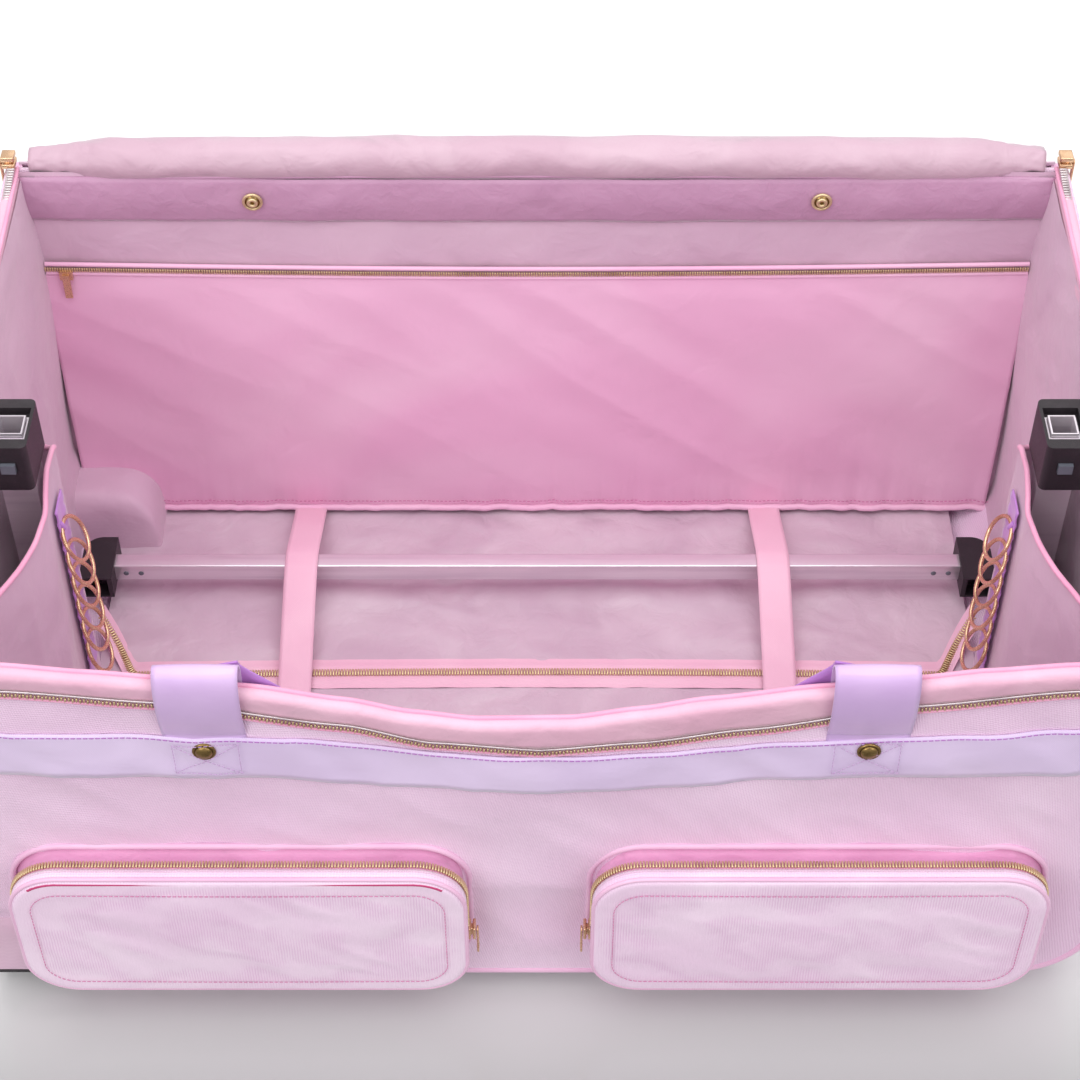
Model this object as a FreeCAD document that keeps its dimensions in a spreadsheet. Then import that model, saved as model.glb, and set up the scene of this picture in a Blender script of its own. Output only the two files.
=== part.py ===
import FreeCAD, Part
import os
import re
import Sketcher

# A soft-sided wheeled duffel, open, with a stowed garment rail and two telescoping uprights.
# Frame: X along the bag, -Y is the front, +Z up. The origin is on the underside of the
# middle skid rail, at the middle of the bag's footprint.

os.makedirs("parts", exist_ok=True)
doc = FreeCAD.newDocument("rail_duffel")
Vector = FreeCAD.Vector

SIZES = dict(
    # the bag's body
    bag_length=711, bag_depth=420, ground_gap=18, front_rise=300, back_rise=332,
    front_sag=46, sag_half_span=230, wall=5, lining=2, board=4, corner_radius=50,
    # zip tape, webbing and seams
    tape=1, tape_drop=14, teeth_tall=5, teeth_thick=2.5, seam_gap=0.1,
    chain_run=66, chain_drop=32, chain_slope=26, webbing=1.4, band_gap=1.2,
    band_low=213, band_tall=38, band_sag="=front_sag - 22", band_half_span=215,
    handle_wide=48, handle_spacing=380,
    front_loop_tall=104, rear_loop_tall=116,
    rivet_radius=5.5, rivet_rise=2, snap_radius=6, snap_spacing=385, snap_drop=20,
    thin_webbing=1.2, grab_thick=3, grab_half=84, rivet_lip=0.3,
    # front pockets
    pocket_width=278, pocket_bottom=38, pocket_tall=122, pocket_deep=30, pocket_radius=34,
    pocket_wall=2, pocket_left_x="=-bag_length / 4 - 4.25",
    pocket_right_x="=bag_length / 4 - 4.75", pocket_zip=6, pocket_zip_from=95, pocket_zip_out=1.2,
    # back pocket
    panel_bottom=36, panel_top=262, panel_out=7, panel_inset=10, back_zip=9,
    back_slider_wide=9, back_slider_tall=7, back_slider_thick=3, back_tab_wide=5, back_tab_tall=20,
    plate_thick=1.5, snap_tall=3, snap_hole=1.8,
    # floor zip, buckles and sliders
    floor_zip_wide=7, floor_zip_tall=1.6, floor_zip_y=25, buckle_deep=14, buckle_tall=5,
    slider_thick=5, slider_wide=9, slider_long=11, main_slider=9, main_slider_deep=10,
    pull_wide=6, pull_long=24, main_pull_long=30,
    # lid
    hinge_rise=4, hinge_back=4, roll_radius=14.5, lid_start=18, lid_reach=404,
    lid_thick=7, lid_lean=-54, lid_zip_tall=9, lid_side_from=150,
    # rail
    rail_y="=bag_depth / 2 - 92", rail_half="=bag_length / 2 - 31.5",
    tube_deep=13, tube_tall=15, tube_wall=1.2, rail_lift=13,
    elbow_wide=24, elbow_deep=42, elbow_tall=20, elbow_round=14, socket_deep=24,
    pin_radius=1.8, pin_out=0.8, pin_in=20, pin_far=31,
    # uprights
    upright_y=-12, outer_tube=22, middle_tube=19.4, inner_tube=16.8, inner_wall=1, upright_foot=46,
    outer_top=300, head_low=286, head_tall=36, head_deep=44, head_reach=13, recess=28,
    recess_deep=5, button_wide=9, button_tall=7, button_out=2.5, button_in=6, slide_gap=0.3,
    # end pockets and rings
    end_reach=41.5, end_back=26, end_front="=bag_depth / 2 - 57", end_top=262, sleeve_top=284,
    strip_wide=20, strip_low=92, ring_radius=15, ring_wire=1.4, ring_pitch=22, ring_tilt=25,
    # wheels and underside
    wheel_radius=25, wheel_wide=24, wheel_in=29.5, wheel_y="=bag_depth / 2 - 23",
    axle_radius=4, well_gap=3, housing_wall=3, housing_deep=36, lip_radius=67, lip_centre=80.5,
    lip_top=75, rail_wide=16,
    rail_spacing=120, rail_length="=bag_length - 151",
    rail_start="=30 - rail_length / 2", strap_wide=24, strap_spacing=348,
    grab_wide=30, grab_out=28, grab_low=180,
)
sheet = doc.addObject("Spreadsheet::Sheet", "Sizes")
for row, (alias, value) in enumerate(SIZES.items(), 1):
    sheet.set(f"A{row}", alias)
    sheet.set(f"B{row}", str(value))
    sheet.setAlias(f"B{row}", alias)
doc.recompute()

# places that several pieces share, in terms of the sheet's own cells
END = "bag_length / 2"
FRONT = "(-bag_depth / 2)"
BACK = "bag_depth / 2"
FLOOR = "(ground_gap + wall + board + lining)"
FRONT_TOP = "(ground_gap + front_rise)"
BACK_TOP = "(ground_gap + back_rise)"
BANK = "(corner_radius + ground_gap)"
LINED_END = "(bag_length / 2 - wall - lining)"
LINED_BACK = "(bag_depth / 2 - wall - lining)"
HINGE_Y = "(bag_depth / 2 + hinge_back)"
HINGE_Z = "(ground_gap + back_rise + hinge_rise)"
BAND_FACE = "(bag_depth / 2 + band_gap)"

NODES = {}


def bound(text):
    """The expression with every size written as a cell of the sheet."""
    return re.sub(r"[a-z]\w*", lambda m: "Sizes." + m[0] if m[0] in SIZES else m[0], text)


def value(text):
    """The number that an expression of sizes gives."""
    cells = {alias: float(sheet.get(alias)) for alias in SIZES}
    numbers = re.sub(r"[a-z]\w*", lambda m: repr(cells[m[0]]), text)
    return FreeCAD.Units.Quantity(numbers).Value


def place(item, corner):
    for letter, text in zip("xyz", corner):
        item.setExpression(f".Placement.Base.{letter}", bound(text))
    return item


def turn(item, axis, angle):
    item.Placement.Rotation = FreeCAD.Rotation(axis, 1)
    item.setExpression(".Placement.Rotation.Angle", bound(angle))
    return item


def box(name, size, corner):
    item = doc.addObject("Part::Box", name)
    for prop, text in zip(("Length", "Width", "Height"), size):
        item.setExpression(prop, bound(text))
    return place(item, corner)


def rod(name, radius, height, start, axis="Z"):
    """A cylinder that runs from start along +X, +Y or +Z."""
    item = doc.addObject("Part::Cylinder", name)
    item.setExpression("Radius", bound(radius))
    item.setExpression("Height", bound(height))
    turns = {"X": (Vector(0, 1, 0), 90), "Y": (Vector(-1, 0, 0), 90), "Z": (Vector(0, 0, 1), 0)}
    item.Placement.Rotation = FreeCAD.Rotation(*turns[axis])
    return place(item, start)


def cut(name, base, tool):
    item = doc.addObject("Part::Cut", name)
    item.Base, item.Tool = base, tool
    return item


def common(name, base, tool):
    item = doc.addObject("Part::Common", name)
    item.Base, item.Tool = base, tool
    return item


def fuse(name, *shapes):
    item = doc.addObject("Part::MultiFuse", name)
    item.Shapes = list(shapes)
    return item


def group(name, *shapes):
    """Separate solids that are kept in one node."""
    item = doc.addObject("Part::Compound", name)
    item.Links = list(shapes)
    return item


def mirrored(name, source, normal=Vector(1, 0, 0)):
    item = doc.addObject("Part::Mirroring", name)
    item.Source, item.Normal = source, normal
    return item


def node(label, item):
    """Name a finished piece and mark it for export."""
    item.Label = label
    NODES[label] = item
    return item


def sketch_on(body, role, name):
    sketch = body.newObject("Sketcher::SketchObject", name)
    plane = [f for f in body.Origin.OriginFeatures if f.Role == role][0]
    sketch.AttachmentSupport = [(plane, "")]
    sketch.MapMode = "FlatFace"
    return sketch


def size_constraint(sketch, name, text, *parts):
    index = sketch.addConstraint(Sketcher.Constraint(*parts, value(text)))
    sketch.renameConstraint(index, name)
    sketch.setExpression(f"Constraints.{name}", bound(text))


def centred_rectangle(sketch, tag, width, depth):
    """Four lines about the sketch's origin, held by one width and one depth."""
    w, d = value(width) / 2, value(depth) / 2
    corners = [Vector(-w, -d, 0), Vector(w, -d, 0), Vector(w, d, 0), Vector(-w, d, 0)]
    first = sketch.GeometryCount
    for i in range(4):
        sketch.addGeometry(Part.LineSegment(corners[i], corners[(i + 1) % 4]), False)
    for i in range(4):
        joined = Sketcher.Constraint("Coincident", first + i, 2, first + (i + 1) % 4, 1)
        sketch.addConstraint(joined)
        level = "Horizontal" if i % 2 == 0 else "Vertical"
        sketch.addConstraint(Sketcher.Constraint(level, first + i))
    middle = Sketcher.Constraint("Symmetric", first, 1, first + 1, 2, -1, 1)
    sketch.addConstraint(middle)
    size_constraint(sketch, f"width{tag}", width, "DistanceX", first, 1, first, 2)
    size_constraint(sketch, f"depth{tag}", depth, "DistanceY", first + 1, 1, first + 1, 2)


def pad(body, sketch, length, both_ways=False):
    item = body.newObject("PartDesign::Pad", sketch.Name + "_pad")
    item.Profile = sketch
    item.SideType = "Symmetric" if both_ways else "One side"
    item.setExpression("Length", bound(length))
    return item


def square_tube(name, width, depth, wall, length):
    """A PartDesign body: a rectangular tube that stands on its own XY plane."""
    body = doc.addObject("PartDesign::Body", name)
    sketch = sketch_on(body, "XY_Plane", name + "_section")
    centred_rectangle(sketch, "_out", width, depth)
    if wall:
        centred_rectangle(sketch, "_in", f"{width} - 2 * {wall}", f"{depth} - 2 * {wall}")
    pad(body, sketch, length)
    return body


def tub(name, half, low, radius, top, depth):
    """A PartDesign body: a block with rounded lower corners, centred on Y."""
    a, b, r, t = value(half), value(low), value(radius), value(top)
    body = doc.addObject("PartDesign::Body", name)
    sketch = sketch_on(body, "XZ_Plane", name + "_outline")
    left = Part.Circle(Vector(-a + r, b + r, 0), Vector(0, 0, 1), r)
    right = Part.Circle(Vector(a - r, b + r, 0), Vector(0, 0, 1), r)
    quarter = FreeCAD.Units.Quantity("pi/2").Value
    sketch.addGeometry(Part.LineSegment(Vector(-a, t, 0), Vector(-a, b + r, 0)), False)
    sketch.addGeometry(Part.ArcOfCircle(left, 2 * quarter, 3 * quarter), False)
    sketch.addGeometry(Part.LineSegment(Vector(-a + r, b, 0), Vector(a - r, b, 0)), False)
    sketch.addGeometry(Part.ArcOfCircle(right, 3 * quarter, 4 * quarter), False)
    sketch.addGeometry(Part.LineSegment(Vector(a, b + r, 0), Vector(a, t, 0)), False)
    sketch.addGeometry(Part.LineSegment(Vector(a, t, 0), Vector(-a, t, 0)), False)
    for first, end, second, start in ((0, 2, 1, 1), (1, 2, 2, 1), (2, 2, 3, 1), (3, 2, 4, 1)):
        sketch.addConstraint(Sketcher.Constraint("Tangent", first, end, second, start))
    sketch.addConstraint(Sketcher.Constraint("Coincident", 4, 2, 5, 1))
    sketch.addConstraint(Sketcher.Constraint("Coincident", 5, 2, 0, 1))
    sketch.addConstraint(Sketcher.Constraint("Vertical", 0))
    sketch.addConstraint(Sketcher.Constraint("Vertical", 4))
    sketch.addConstraint(Sketcher.Constraint("Horizontal", 2))
    sketch.addConstraint(Sketcher.Constraint("Equal", 1, 3))
    sketch.addConstraint(Sketcher.Constraint("Symmetric", 5, 1, 5, 2, -2))
    size_constraint(sketch, "radius", radius, "Radius", 1)
    size_constraint(sketch, "length", f"2 * ({half})", "DistanceX", 5, 2, 5, 1)
    size_constraint(sketch, "low", low, "DistanceY", -1, 1, 2, 1)
    size_constraint(sketch, "top", top, "DistanceY", -1, 1, 5, 1)
    pad(body, sketch, depth, both_ways=True)
    return body


def strip(name, points, arcs, thickness, width, start, across="X"):
    """A flat strap: a path of runs and arcs in a plane, with a thickness, drawn out sideways.

    points are (u, v) pairs of expressions. arcs holds the index of each point that is the
    middle of a round stretch. The plane is YZ for a strap drawn out along X, else XY.
    """
    flat = [(value(u), value(v)) for u, v in points]
    to = (lambda u, v: Vector(0, u, v)) if across == "X" else (lambda u, v: Vector(u, v, 0))
    spots = [to(u, v) for u, v in flat]
    edges, i = [], 0
    while i < len(spots) - 1:
        if i + 1 in arcs:
            edges.append(Part.Arc(spots[i], spots[i + 1], spots[i + 2]).toShape())
            i += 2
        else:
            edges.append(Part.LineSegment(spots[i], spots[i + 1]).toShape())
            i += 1
    face = Part.Wire(edges).makeOffset2D(value(thickness), 0, True, True, False)
    item = doc.addObject("Part::Feature", name)
    item.Shape = face.extrude(to(0, 0) + (Vector(1, 0, 0) if across == "X" else Vector(0, 0, 1))
                              * value(width))
    return place(item, start)


# ---- the bag's shell: front, back, two ends and the bottom ------------------------------

outer = tub("outer_form", END, "ground_gap", "corner_radius", "ground_gap + back_rise",
            "bag_depth")
inner = tub("inner_form", f"{END} - wall", "ground_gap + wall", "corner_radius - wall",
            "ground_gap + back_rise", "2 * bag_depth")
liner = tub("liner_form", f"{END} - wall", "ground_gap + wall + board",
            "corner_radius - wall", "ground_gap + back_rise", "bag_depth - 2 * wall")
hollow = tub("hollow_form", LINED_END, FLOOR, "corner_radius - wall - lining",
             "2 * back_rise", "bag_depth - 2 * wall - 2 * lining")

# the rim falls from the back to the front, and its front edge sags to an arc
SLOPE = "atan((back_rise - front_rise) / bag_depth)"
above = turn(box("above_rim", ("2 * bag_length", "2 * bag_depth", "back_rise"),
                 ("-bag_length", FRONT, FRONT_TOP)), Vector(1, 0, 0), SLOPE)


def sag_rod(name, sag, half_span, end_z):
    """A wide cylinder along Y whose lowest line is the bottom of a sagging edge."""
    radius = f"(({half_span})^2 + ({sag})^2) / (2 * ({sag}))"
    return rod(name, radius, "60", ("0", f"{FRONT} - 30", f"{end_z} - ({sag}) + {radius}"), "Y")


sag = sag_rod("sag_form", "front_sag", "sag_half_span", FRONT_TOP)
front_zone = box("front_zone", (END + " * 2", "wall + lining", "ground_gap + back_rise"),
                 (f"-{END}", FRONT, "0"))
sag_cut = common("sag_cut", sag, front_zone)

# each wheel sits in a housing at a lower corner of the left end
WHEEL_X = f"(-{END} + wheel_in)"
HOUSING_IN = "(bag_depth / 2 - wall - housing_deep)"
envelope = []
for side, dome_y, lip_y in (("front", f"{FRONT} + wall", FRONT), ("rear", HOUSING_IN, HOUSING_IN)):
    dome = rod(f"dome_{side}", "wheel_radius + well_gap + housing_wall", "housing_deep",
               (WHEEL_X, dome_y, "wheel_radius"), "Y")
    corner = box(f"lip_box_{side}", ("lip_centre", "housing_deep + wall", "lip_top"),
                 (f"-{END}", lip_y, "0"))
    round_off = rod(f"lip_round_{side}", "lip_radius", "housing_deep + wall",
                    (f"-{END} + lip_centre", lip_y, "lip_top"), "Y")
    lip = common(f"lip_in_{side}", cut(f"lip_{side}", corner, round_off), outer)
    envelope.append(fuse(f"envelope_{side}", dome, lip))
envelopes = fuse("envelopes", *envelope)
openings = fuse("shell_openings", above, sag_cut, envelopes)

front_slab = box("front_slab", ("2 * bag_length", "wall", "2 * back_rise"),
                 ("-bag_length", FRONT, "0"))
back_slab = box("back_slab", ("2 * bag_length", "wall", "2 * back_rise"),
                ("-bag_length", f"{BACK} - wall", "0"))
trimmed = cut("trimmed_shell", outer, openings)
node("front_panel", common("front_cut", trimmed, front_slab))
node("back_panel", common("back_cut", trimmed, back_slab))
gusset = cut("gusset", cut("gusset_a", cut("gusset_b", trimmed, inner), front_slab), back_slab)
below = box("below_bank", ("2 * bag_length", "2 * bag_depth", BANK),
            ("-bag_length", "-bag_depth", "0"))
left_half = box("left_half", ("bag_length", "2 * bag_depth", "2 * back_rise"),
                ("-bag_length", "-bag_depth", BANK))
right_half = box("right_half", ("bag_length", "2 * bag_depth", "2 * back_rise"),
                 ("0", "-bag_depth", BANK))
node("bottom_panel", common("bottom_cut", gusset, below))
node("left_end_panel", common("left_end_cut", gusset, left_half))
node("right_end_panel", common("right_end_cut", gusset, right_half))

board = box("board_blank", ("bag_length - 2 * corner_radius", "bag_depth - 2 * wall", "board"),
            (f"-{END} + corner_radius", f"{FRONT} + wall", "ground_gap + wall"))
node("base_board", cut("board_cut", board, envelopes))
tray = cut("tray", cut("tray_trim", liner, openings), hollow)
node("floor_lining", common("floor_lining_cut", tray, below))
node("wall_lining", cut("wall_lining_cut", tray, below))

# ---- three runners under the floor; the middle one carries the frame's origin -----------


def skid(index):
    body = doc.addObject("PartDesign::Body", f"runner_{index}")
    sketch = sketch_on(body, "XY_Plane", f"runner_{index}_outline")
    centred_rectangle(sketch, "", "rail_length", "rail_wide")
    block = pad(body, sketch, "ground_gap")
    ends = body.newObject("PartDesign::Chamfer", f"runner_{index}_ends")
    doc.recompute()
    low = [f"Edge{n}" for n, edge in enumerate(block.Shape.Edges, 1)
           if edge.BoundBox.ZMax < 0.01 and edge.BoundBox.XLength < 0.01]
    ends.Base = (block, low)
    ends.setExpression("Size", bound("ground_gap / 2"))
    body.Tip = ends
    return place(body, ("rail_start + rail_length / 2", f"{index} * rail_spacing", "0"))


node("skid_rails", group("runners", *[skid(i) for i in (-1, 0, 1)]))

# ---- wheels, their housings and axles ---------------------------------------------------

housings, axles = [], []
for side, y, shape in (("front", "-wheel_y", envelope[0]), ("rear", "wheel_y", envelope[1])):
    well_y = f"{y} - wheel_wide / 2 - 1"
    well = rod(f"well_{side}", "wheel_radius + well_gap", "wheel_wide + 2",
               (WHEEL_X, well_y, "wheel_radius"), "Y")
    under = box(f"under_{side}", ("2 * (wheel_radius + well_gap)", "wheel_wide + 2", "40"),
                (f"{WHEEL_X} - wheel_radius - well_gap", well_y, "wheel_radius - 40"))
    beside = box(f"beside_{side}", ("60", "wheel_wide + 2", "60"),
                 (f"{WHEEL_X} - 60", well_y, "wheel_radius - 60"))
    base = box(f"foot_cut_{side}", ("4 * wheel_radius", "2 * housing_deep", "2 * ground_gap"),
               (f"{WHEEL_X} - 2 * wheel_radius", f"{y} - housing_deep", "-1.5 * ground_gap"))
    bore = rod(f"axle_bore_{side}", "axle_radius", "housing_deep - 3",
               (WHEEL_X, f"{y} - (housing_deep - 3) / 2", "wheel_radius"), "Y")
    taken = fuse(f"housing_cuts_{side}", well, under, beside, base, bore)
    housings.append(cut(f"housing_{side}", shape, taken))
    axles.append(rod(f"axle_{side}", "axle_radius", "housing_deep - 3",
                     (WHEEL_X, f"{y} - (housing_deep - 3) / 2", "wheel_radius"), "Y"))
    body = doc.addObject("PartDesign::Body", f"wheel_{side}_body")
    sketch = sketch_on(body, "XY_Plane", f"wheel_{side}_tread")
    for tag, radius in (("tread", "wheel_radius"), ("bore", "axle_radius + 0.05")):
        ring = Part.Circle(Vector(0, 0, 0), Vector(0, 0, 1), value(radius))
        index = sketch.addGeometry(ring, False)
        sketch.addConstraint(Sketcher.Constraint("Coincident", index, 3, -1, 1))
        size_constraint(sketch, tag, radius, "Radius", index)
    tread = pad(body, sketch, "wheel_wide")
    doc.recompute()
    rims = [f"Edge{n}" for n, edge in enumerate(tread.Shape.Edges, 1)
            if edge.BoundBox.ZLength < 0.01 and edge.BoundBox.XLength > value("wheel_radius")]
    crown = body.newObject("PartDesign::Fillet", f"wheel_{side}_crown")
    crown.Base = (tread, rims)
    crown.Radius = 5
    body.Tip = crown
    body.Placement.Rotation = FreeCAD.Rotation(Vector(-1, 0, 0), 90)
    place(body, (WHEEL_X, f"{y} - wheel_wide / 2", "wheel_radius"))
    node(f"wheel_{side}", body)
node("wheel_housings", group("housing_pair", *housings))
node("wheel_axles", group("axle_pair", *axles))

# ---- bands, rim tape and zip teeth -------------------------------------------------------


def sagging_strip(name, thick, face_y, low_z, tall, sag, half_span, half_length):
    """A level strip on the front that dips to an arc between -half_span and half_span."""
    slab = box(f"{name}_slab", (f"2 * ({half_span})", thick, f"({tall}) + ({sag})"),
               (f"-({half_span})", face_y, f"{low_z} - ({sag})"))
    low = sag_rod(f"{name}_low", sag, half_span, low_z)
    high = sag_rod(f"{name}_high", sag, half_span, f"{low_z} + ({tall})")
    dip = cut(f"{name}_dip", common(f"{name}_above", slab, low), high)
    level = [box(f"{name}_{side}", (f"({half_length}) - ({half_span})", thick, tall),
                 (x, face_y, low_z))
             for side, x in (("left", f"-({half_length})"), ("right", half_span))]
    return fuse(f"{name}_whole", dip, *level)


band = sagging_strip("front_band", "webbing", f"-{BAND_FACE} - webbing", "ground_gap + band_low",
                     "band_tall", "band_sag", "band_half_span", f"{END} - 6")
rear_band = box("rear_band", ("bag_length - 12", "webbing", "band_tall"),
                (f"-{END} + 6", BAND_FACE, "ground_gap + band_low"))
node("webbing_bands", group("bands", band, rear_band))

tape = sagging_strip("front_tape", "tape", f"{FRONT} - tape", f"{FRONT_TOP} - tape_drop",
                     "tape_drop", "front_sag", "sag_half_span", f"{END} - 2")
tape_ends = []
for side, x in (("left", f"-{END} - tape"), ("right", END)):
    piece = box(f"tape_{side}", ("tape", "bag_depth - 90", "tape_drop"),
                (x, f"{FRONT} + 10", f"{FRONT_TOP} - tape_drop"))
    tape_ends.append(turn(piece, Vector(1, 0, 0), SLOPE))
node("rim_tape", group("tapes", tape, *tape_ends))

teeth = sagging_strip("front_teeth", "teeth_thick", f"{FRONT} - teeth_thick",
                      f"{FRONT_TOP} - tape_drop - teeth_tall", "teeth_tall", "front_sag",
                      "sag_half_span", f"{END} - 2")
teeth_ends = []
for side, x in (("left", f"-{END} - teeth_thick"), ("right", END)):
    piece = box(f"teeth_{side}", ("teeth_thick", "bag_depth - 90", "teeth_tall - seam_gap"),
                (x, f"{FRONT} + 10", f"{FRONT_TOP} - tape_drop - teeth_tall"))
    teeth_ends.append(turn(piece, Vector(1, 0, 0), SLOPE))
    chain = box(f"chain_{side}", ("teeth_thick", "chain_run", "teeth_tall"),
                (x, f"{BACK} - chain_run", f"{BACK_TOP} - chain_drop"))
    teeth_ends.append(turn(chain, Vector(1, 0, 0), "chain_slope"))
node("rim_zip", group("teeth_rows", teeth, *teeth_ends))

# ---- front and rear handles --------------------------------------------------------------

SIDE = "handle_spacing / 2"
ARCH_Y = f"({FRONT} + 2)"
leg_path = [(f"-{BAND_FACE}", "ground_gap + band_low + 4"),
            (f"-{BAND_FACE}", "ground_gap + band_low + band_tall + 2"),
            (f"{ARCH_Y} - 9", f"{FRONT_TOP} - front_sag + 3"),
            (f"{ARCH_Y} - 9", f"{FRONT_TOP} - 2"),
            (ARCH_Y, f"{FRONT_TOP} + 7"),
            (f"{ARCH_Y} + 9", f"{FRONT_TOP} - 2"),
            (f"{ARCH_Y} + 9", f"{FRONT_TOP} - 12")]
legs = []
for side, x in (("left", f"-({SIDE}) - handle_wide / 2"), ("right", f"{SIDE} - handle_wide / 2")):
    legs.append(strip(f"front_leg_{side}", leg_path, (4,), "thin_webbing", "handle_wide",
                      (x, "0", "0")))
    legs.append(box(f"rear_leg_{side}", ("handle_wide", "thin_webbing", "band_tall + 5"),
                    (x, BACK, "ground_gap + band_low - 1")))
node("handle_legs", group("sewn_legs", *legs))


def webbing_loop(name, y, top, tall):
    """The free part of a handle: two legs joined by a level run."""
    whole = box(f"{name}_out", ("handle_spacing + handle_wide", "webbing", tall),
                (f"-({SIDE}) - handle_wide / 2", y, f"{top} - ({tall})"))
    gap = box(f"{name}_gap", ("handle_spacing - handle_wide", "4 * webbing", tall),
              (f"-({SIDE}) + handle_wide / 2", f"{y} - webbing",
               f"{top} - ({tall}) + handle_wide"))
    return cut(name, whole, gap)


node("front_handle_loop", webbing_loop("front_loop", f"{ARCH_Y} + 9 - webbing",
                                       f"{FRONT_TOP} - 19", "front_loop_tall"))
node("rear_handle_loop", webbing_loop("rear_loop", f"{BAND_FACE} + webbing + 0.4",
                                      "ground_gap + band_low + band_tall", "rear_loop_tall"))
grab_path = [("0", "-grab_half"), ("0.4 * grab_out", "4 - grab_half"),
             ("grab_out", "-grab_half * 2 / 3"), ("grab_out", "grab_half * 2 / 3"),
             ("0.4 * grab_out", "grab_half - 4"), ("0", "grab_half")]
node("end_grab_handle", strip("grab", grab_path, (), "grab_thick", "grab_wide",
                              (f"{END} + 0.2", "0", "grab_low"), across="Z"))
rivets = []
for x in (f"-({SIDE})", SIDE):
    for tag, y in (("front", f"-{BAND_FACE} - webbing - rivet_rise"),
                   ("rear", f"{BAND_FACE} + webbing")):
        name = f"rivet_{tag}_{'left' if x.startswith('-') else 'right'}"
        height = "ground_gap + band_low + band_tall / 2 + 7"
        if tag == "front":
            height = "ground_gap + band_low + band_tall / 2 + 2"
            rivets.append(rod(name, "rivet_radius", "rivet_rise", (x, y, height), "Y"))
        else:
            rivets.append(rod(name, "rivet_radius / 2", "rivet_lip", (x, y, height), "Y"))
node("handle_rivets", group("rivets", *rivets))

# ---- front pockets -----------------------------------------------------------------------


def pocket_form(name, x, grow, depth):
    """A block with all four corners rounded, lying against the front panel."""
    width = f"pocket_width + 2 * ({grow})"
    tall = f"pocket_tall + 2 * ({grow})"
    body = doc.addObject("PartDesign::Body", name)
    sketch = sketch_on(body, "XZ_Plane", f"{name}_outline")
    centred_rectangle(sketch, "", width, tall)
    block = pad(body, sketch, f"2 * ({depth})", both_ways=True)
    doc.recompute()
    corners = [f"Edge{n}" for n, edge in enumerate(block.Shape.Edges, 1)
               if edge.BoundBox.XLength < 0.01 and edge.BoundBox.ZLength < 0.01]
    rounded = body.newObject("PartDesign::Fillet", f"{name}_corners")
    rounded.Base = (block, corners)
    rounded.setExpression("Radius", bound(f"pocket_radius + ({grow})"))
    body.Tip = rounded
    return place(body, (x, FRONT, "pocket_bottom + pocket_tall / 2"))


behind = box("behind_front", ("2 * bag_length", "bag_depth", "2 * back_rise"),
             ("-bag_length", FRONT, "0"))
zips = []
for side, x in (("left", "pocket_left_x"), ("right", "pocket_right_x")):
    skin = pocket_form(f"pocket_{side}_skin", x, "0", "pocket_deep")
    space = pocket_form(f"pocket_{side}_space", x, "-pocket_wall", "pocket_deep - pocket_wall")
    shell = cut(f"pocket_{side}_shell", cut(f"pocket_{side}_front", skin, behind), space)
    node(f"front_pocket_{side}", shell)
    proud = pocket_form(f"zip_{side}_form", x, "pocket_zip_out", "pocket_deep")
    ribbon = box(f"zip_{side}_ribbon", ("bag_length", "pocket_zip", "pocket_tall * 2"),
                 (f"{x} - {END}", f"{FRONT} - pocket_deep / 2 - pocket_zip / 2",
                  "pocket_zip_from"))
    zips.append(cut(f"zip_{side}", common(f"zip_{side}_band", proud, ribbon), skin))
node("front_pocket_zips", group("pocket_zips", *zips))

# ---- the back pocket, its zip and slider, and the snap sockets ---------------------------

PANEL_X = f"({LINED_END} - panel_inset)"
panel_out = box("panel_out", (f"2 * {PANEL_X}", "panel_out", "panel_top - panel_bottom"),
                (f"-{PANEL_X}", f"{LINED_BACK} - panel_out", "panel_bottom"))
panel_in = box("panel_in", (f"2 * {PANEL_X} - 4", "panel_out", "panel_top - panel_bottom"),
               (f"-{PANEL_X} + 2", f"{LINED_BACK} - panel_out + 2", "panel_bottom + 2"))
panel = cut("panel_shell", panel_out, panel_in)
node("back_pocket_panel", common("panel_fit", cut("panel_wheel", panel, envelopes), hollow))
node("back_pocket_zip", box("back_zip_strip", (f"2 * {PANEL_X}", "panel_out - 2", "back_zip"),
                            (f"-{PANEL_X}", f"{LINED_BACK} - panel_out + 2", "panel_top")))
SLIDER_Y = f"({LINED_BACK} - panel_out + 2 - slide_gap - 3)"
slider = box("slider_block", ("back_slider_wide", "back_slider_thick", "back_slider_tall"),
             (f"-{PANEL_X} + 6", SLIDER_Y, "panel_top + 1"))
tab = box("slider_tab", ("back_tab_wide", "plate_thick", "back_tab_tall"),
          (f"-{PANEL_X} + 8", f"{SLIDER_Y} - 1.5",
                                            "panel_top - 14"))
node("back_pocket_slider", fuse("slider_fused", slider, tab))
sockets = []
for sign in ("-", ""):
    x = f"{sign}snap_spacing / 2"
    start = (x, f"{LINED_BACK} - 3", f"{BACK_TOP} - snap_drop")
    cup = rod(f"snap_cup{sign and '_left'}", "snap_radius", "snap_tall", start, "Y")
    dimple = rod(f"snap_hole{sign and '_left'}", "snap_radius / 2.6", "snap_hole", start, "Y")
    sockets.append(cut(f"snap{sign and '_left'}", cup, dimple))
node("snap_sockets", group("sockets", *sockets))

# ---- floor zip, floor straps and buckles -------------------------------------------------

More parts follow.
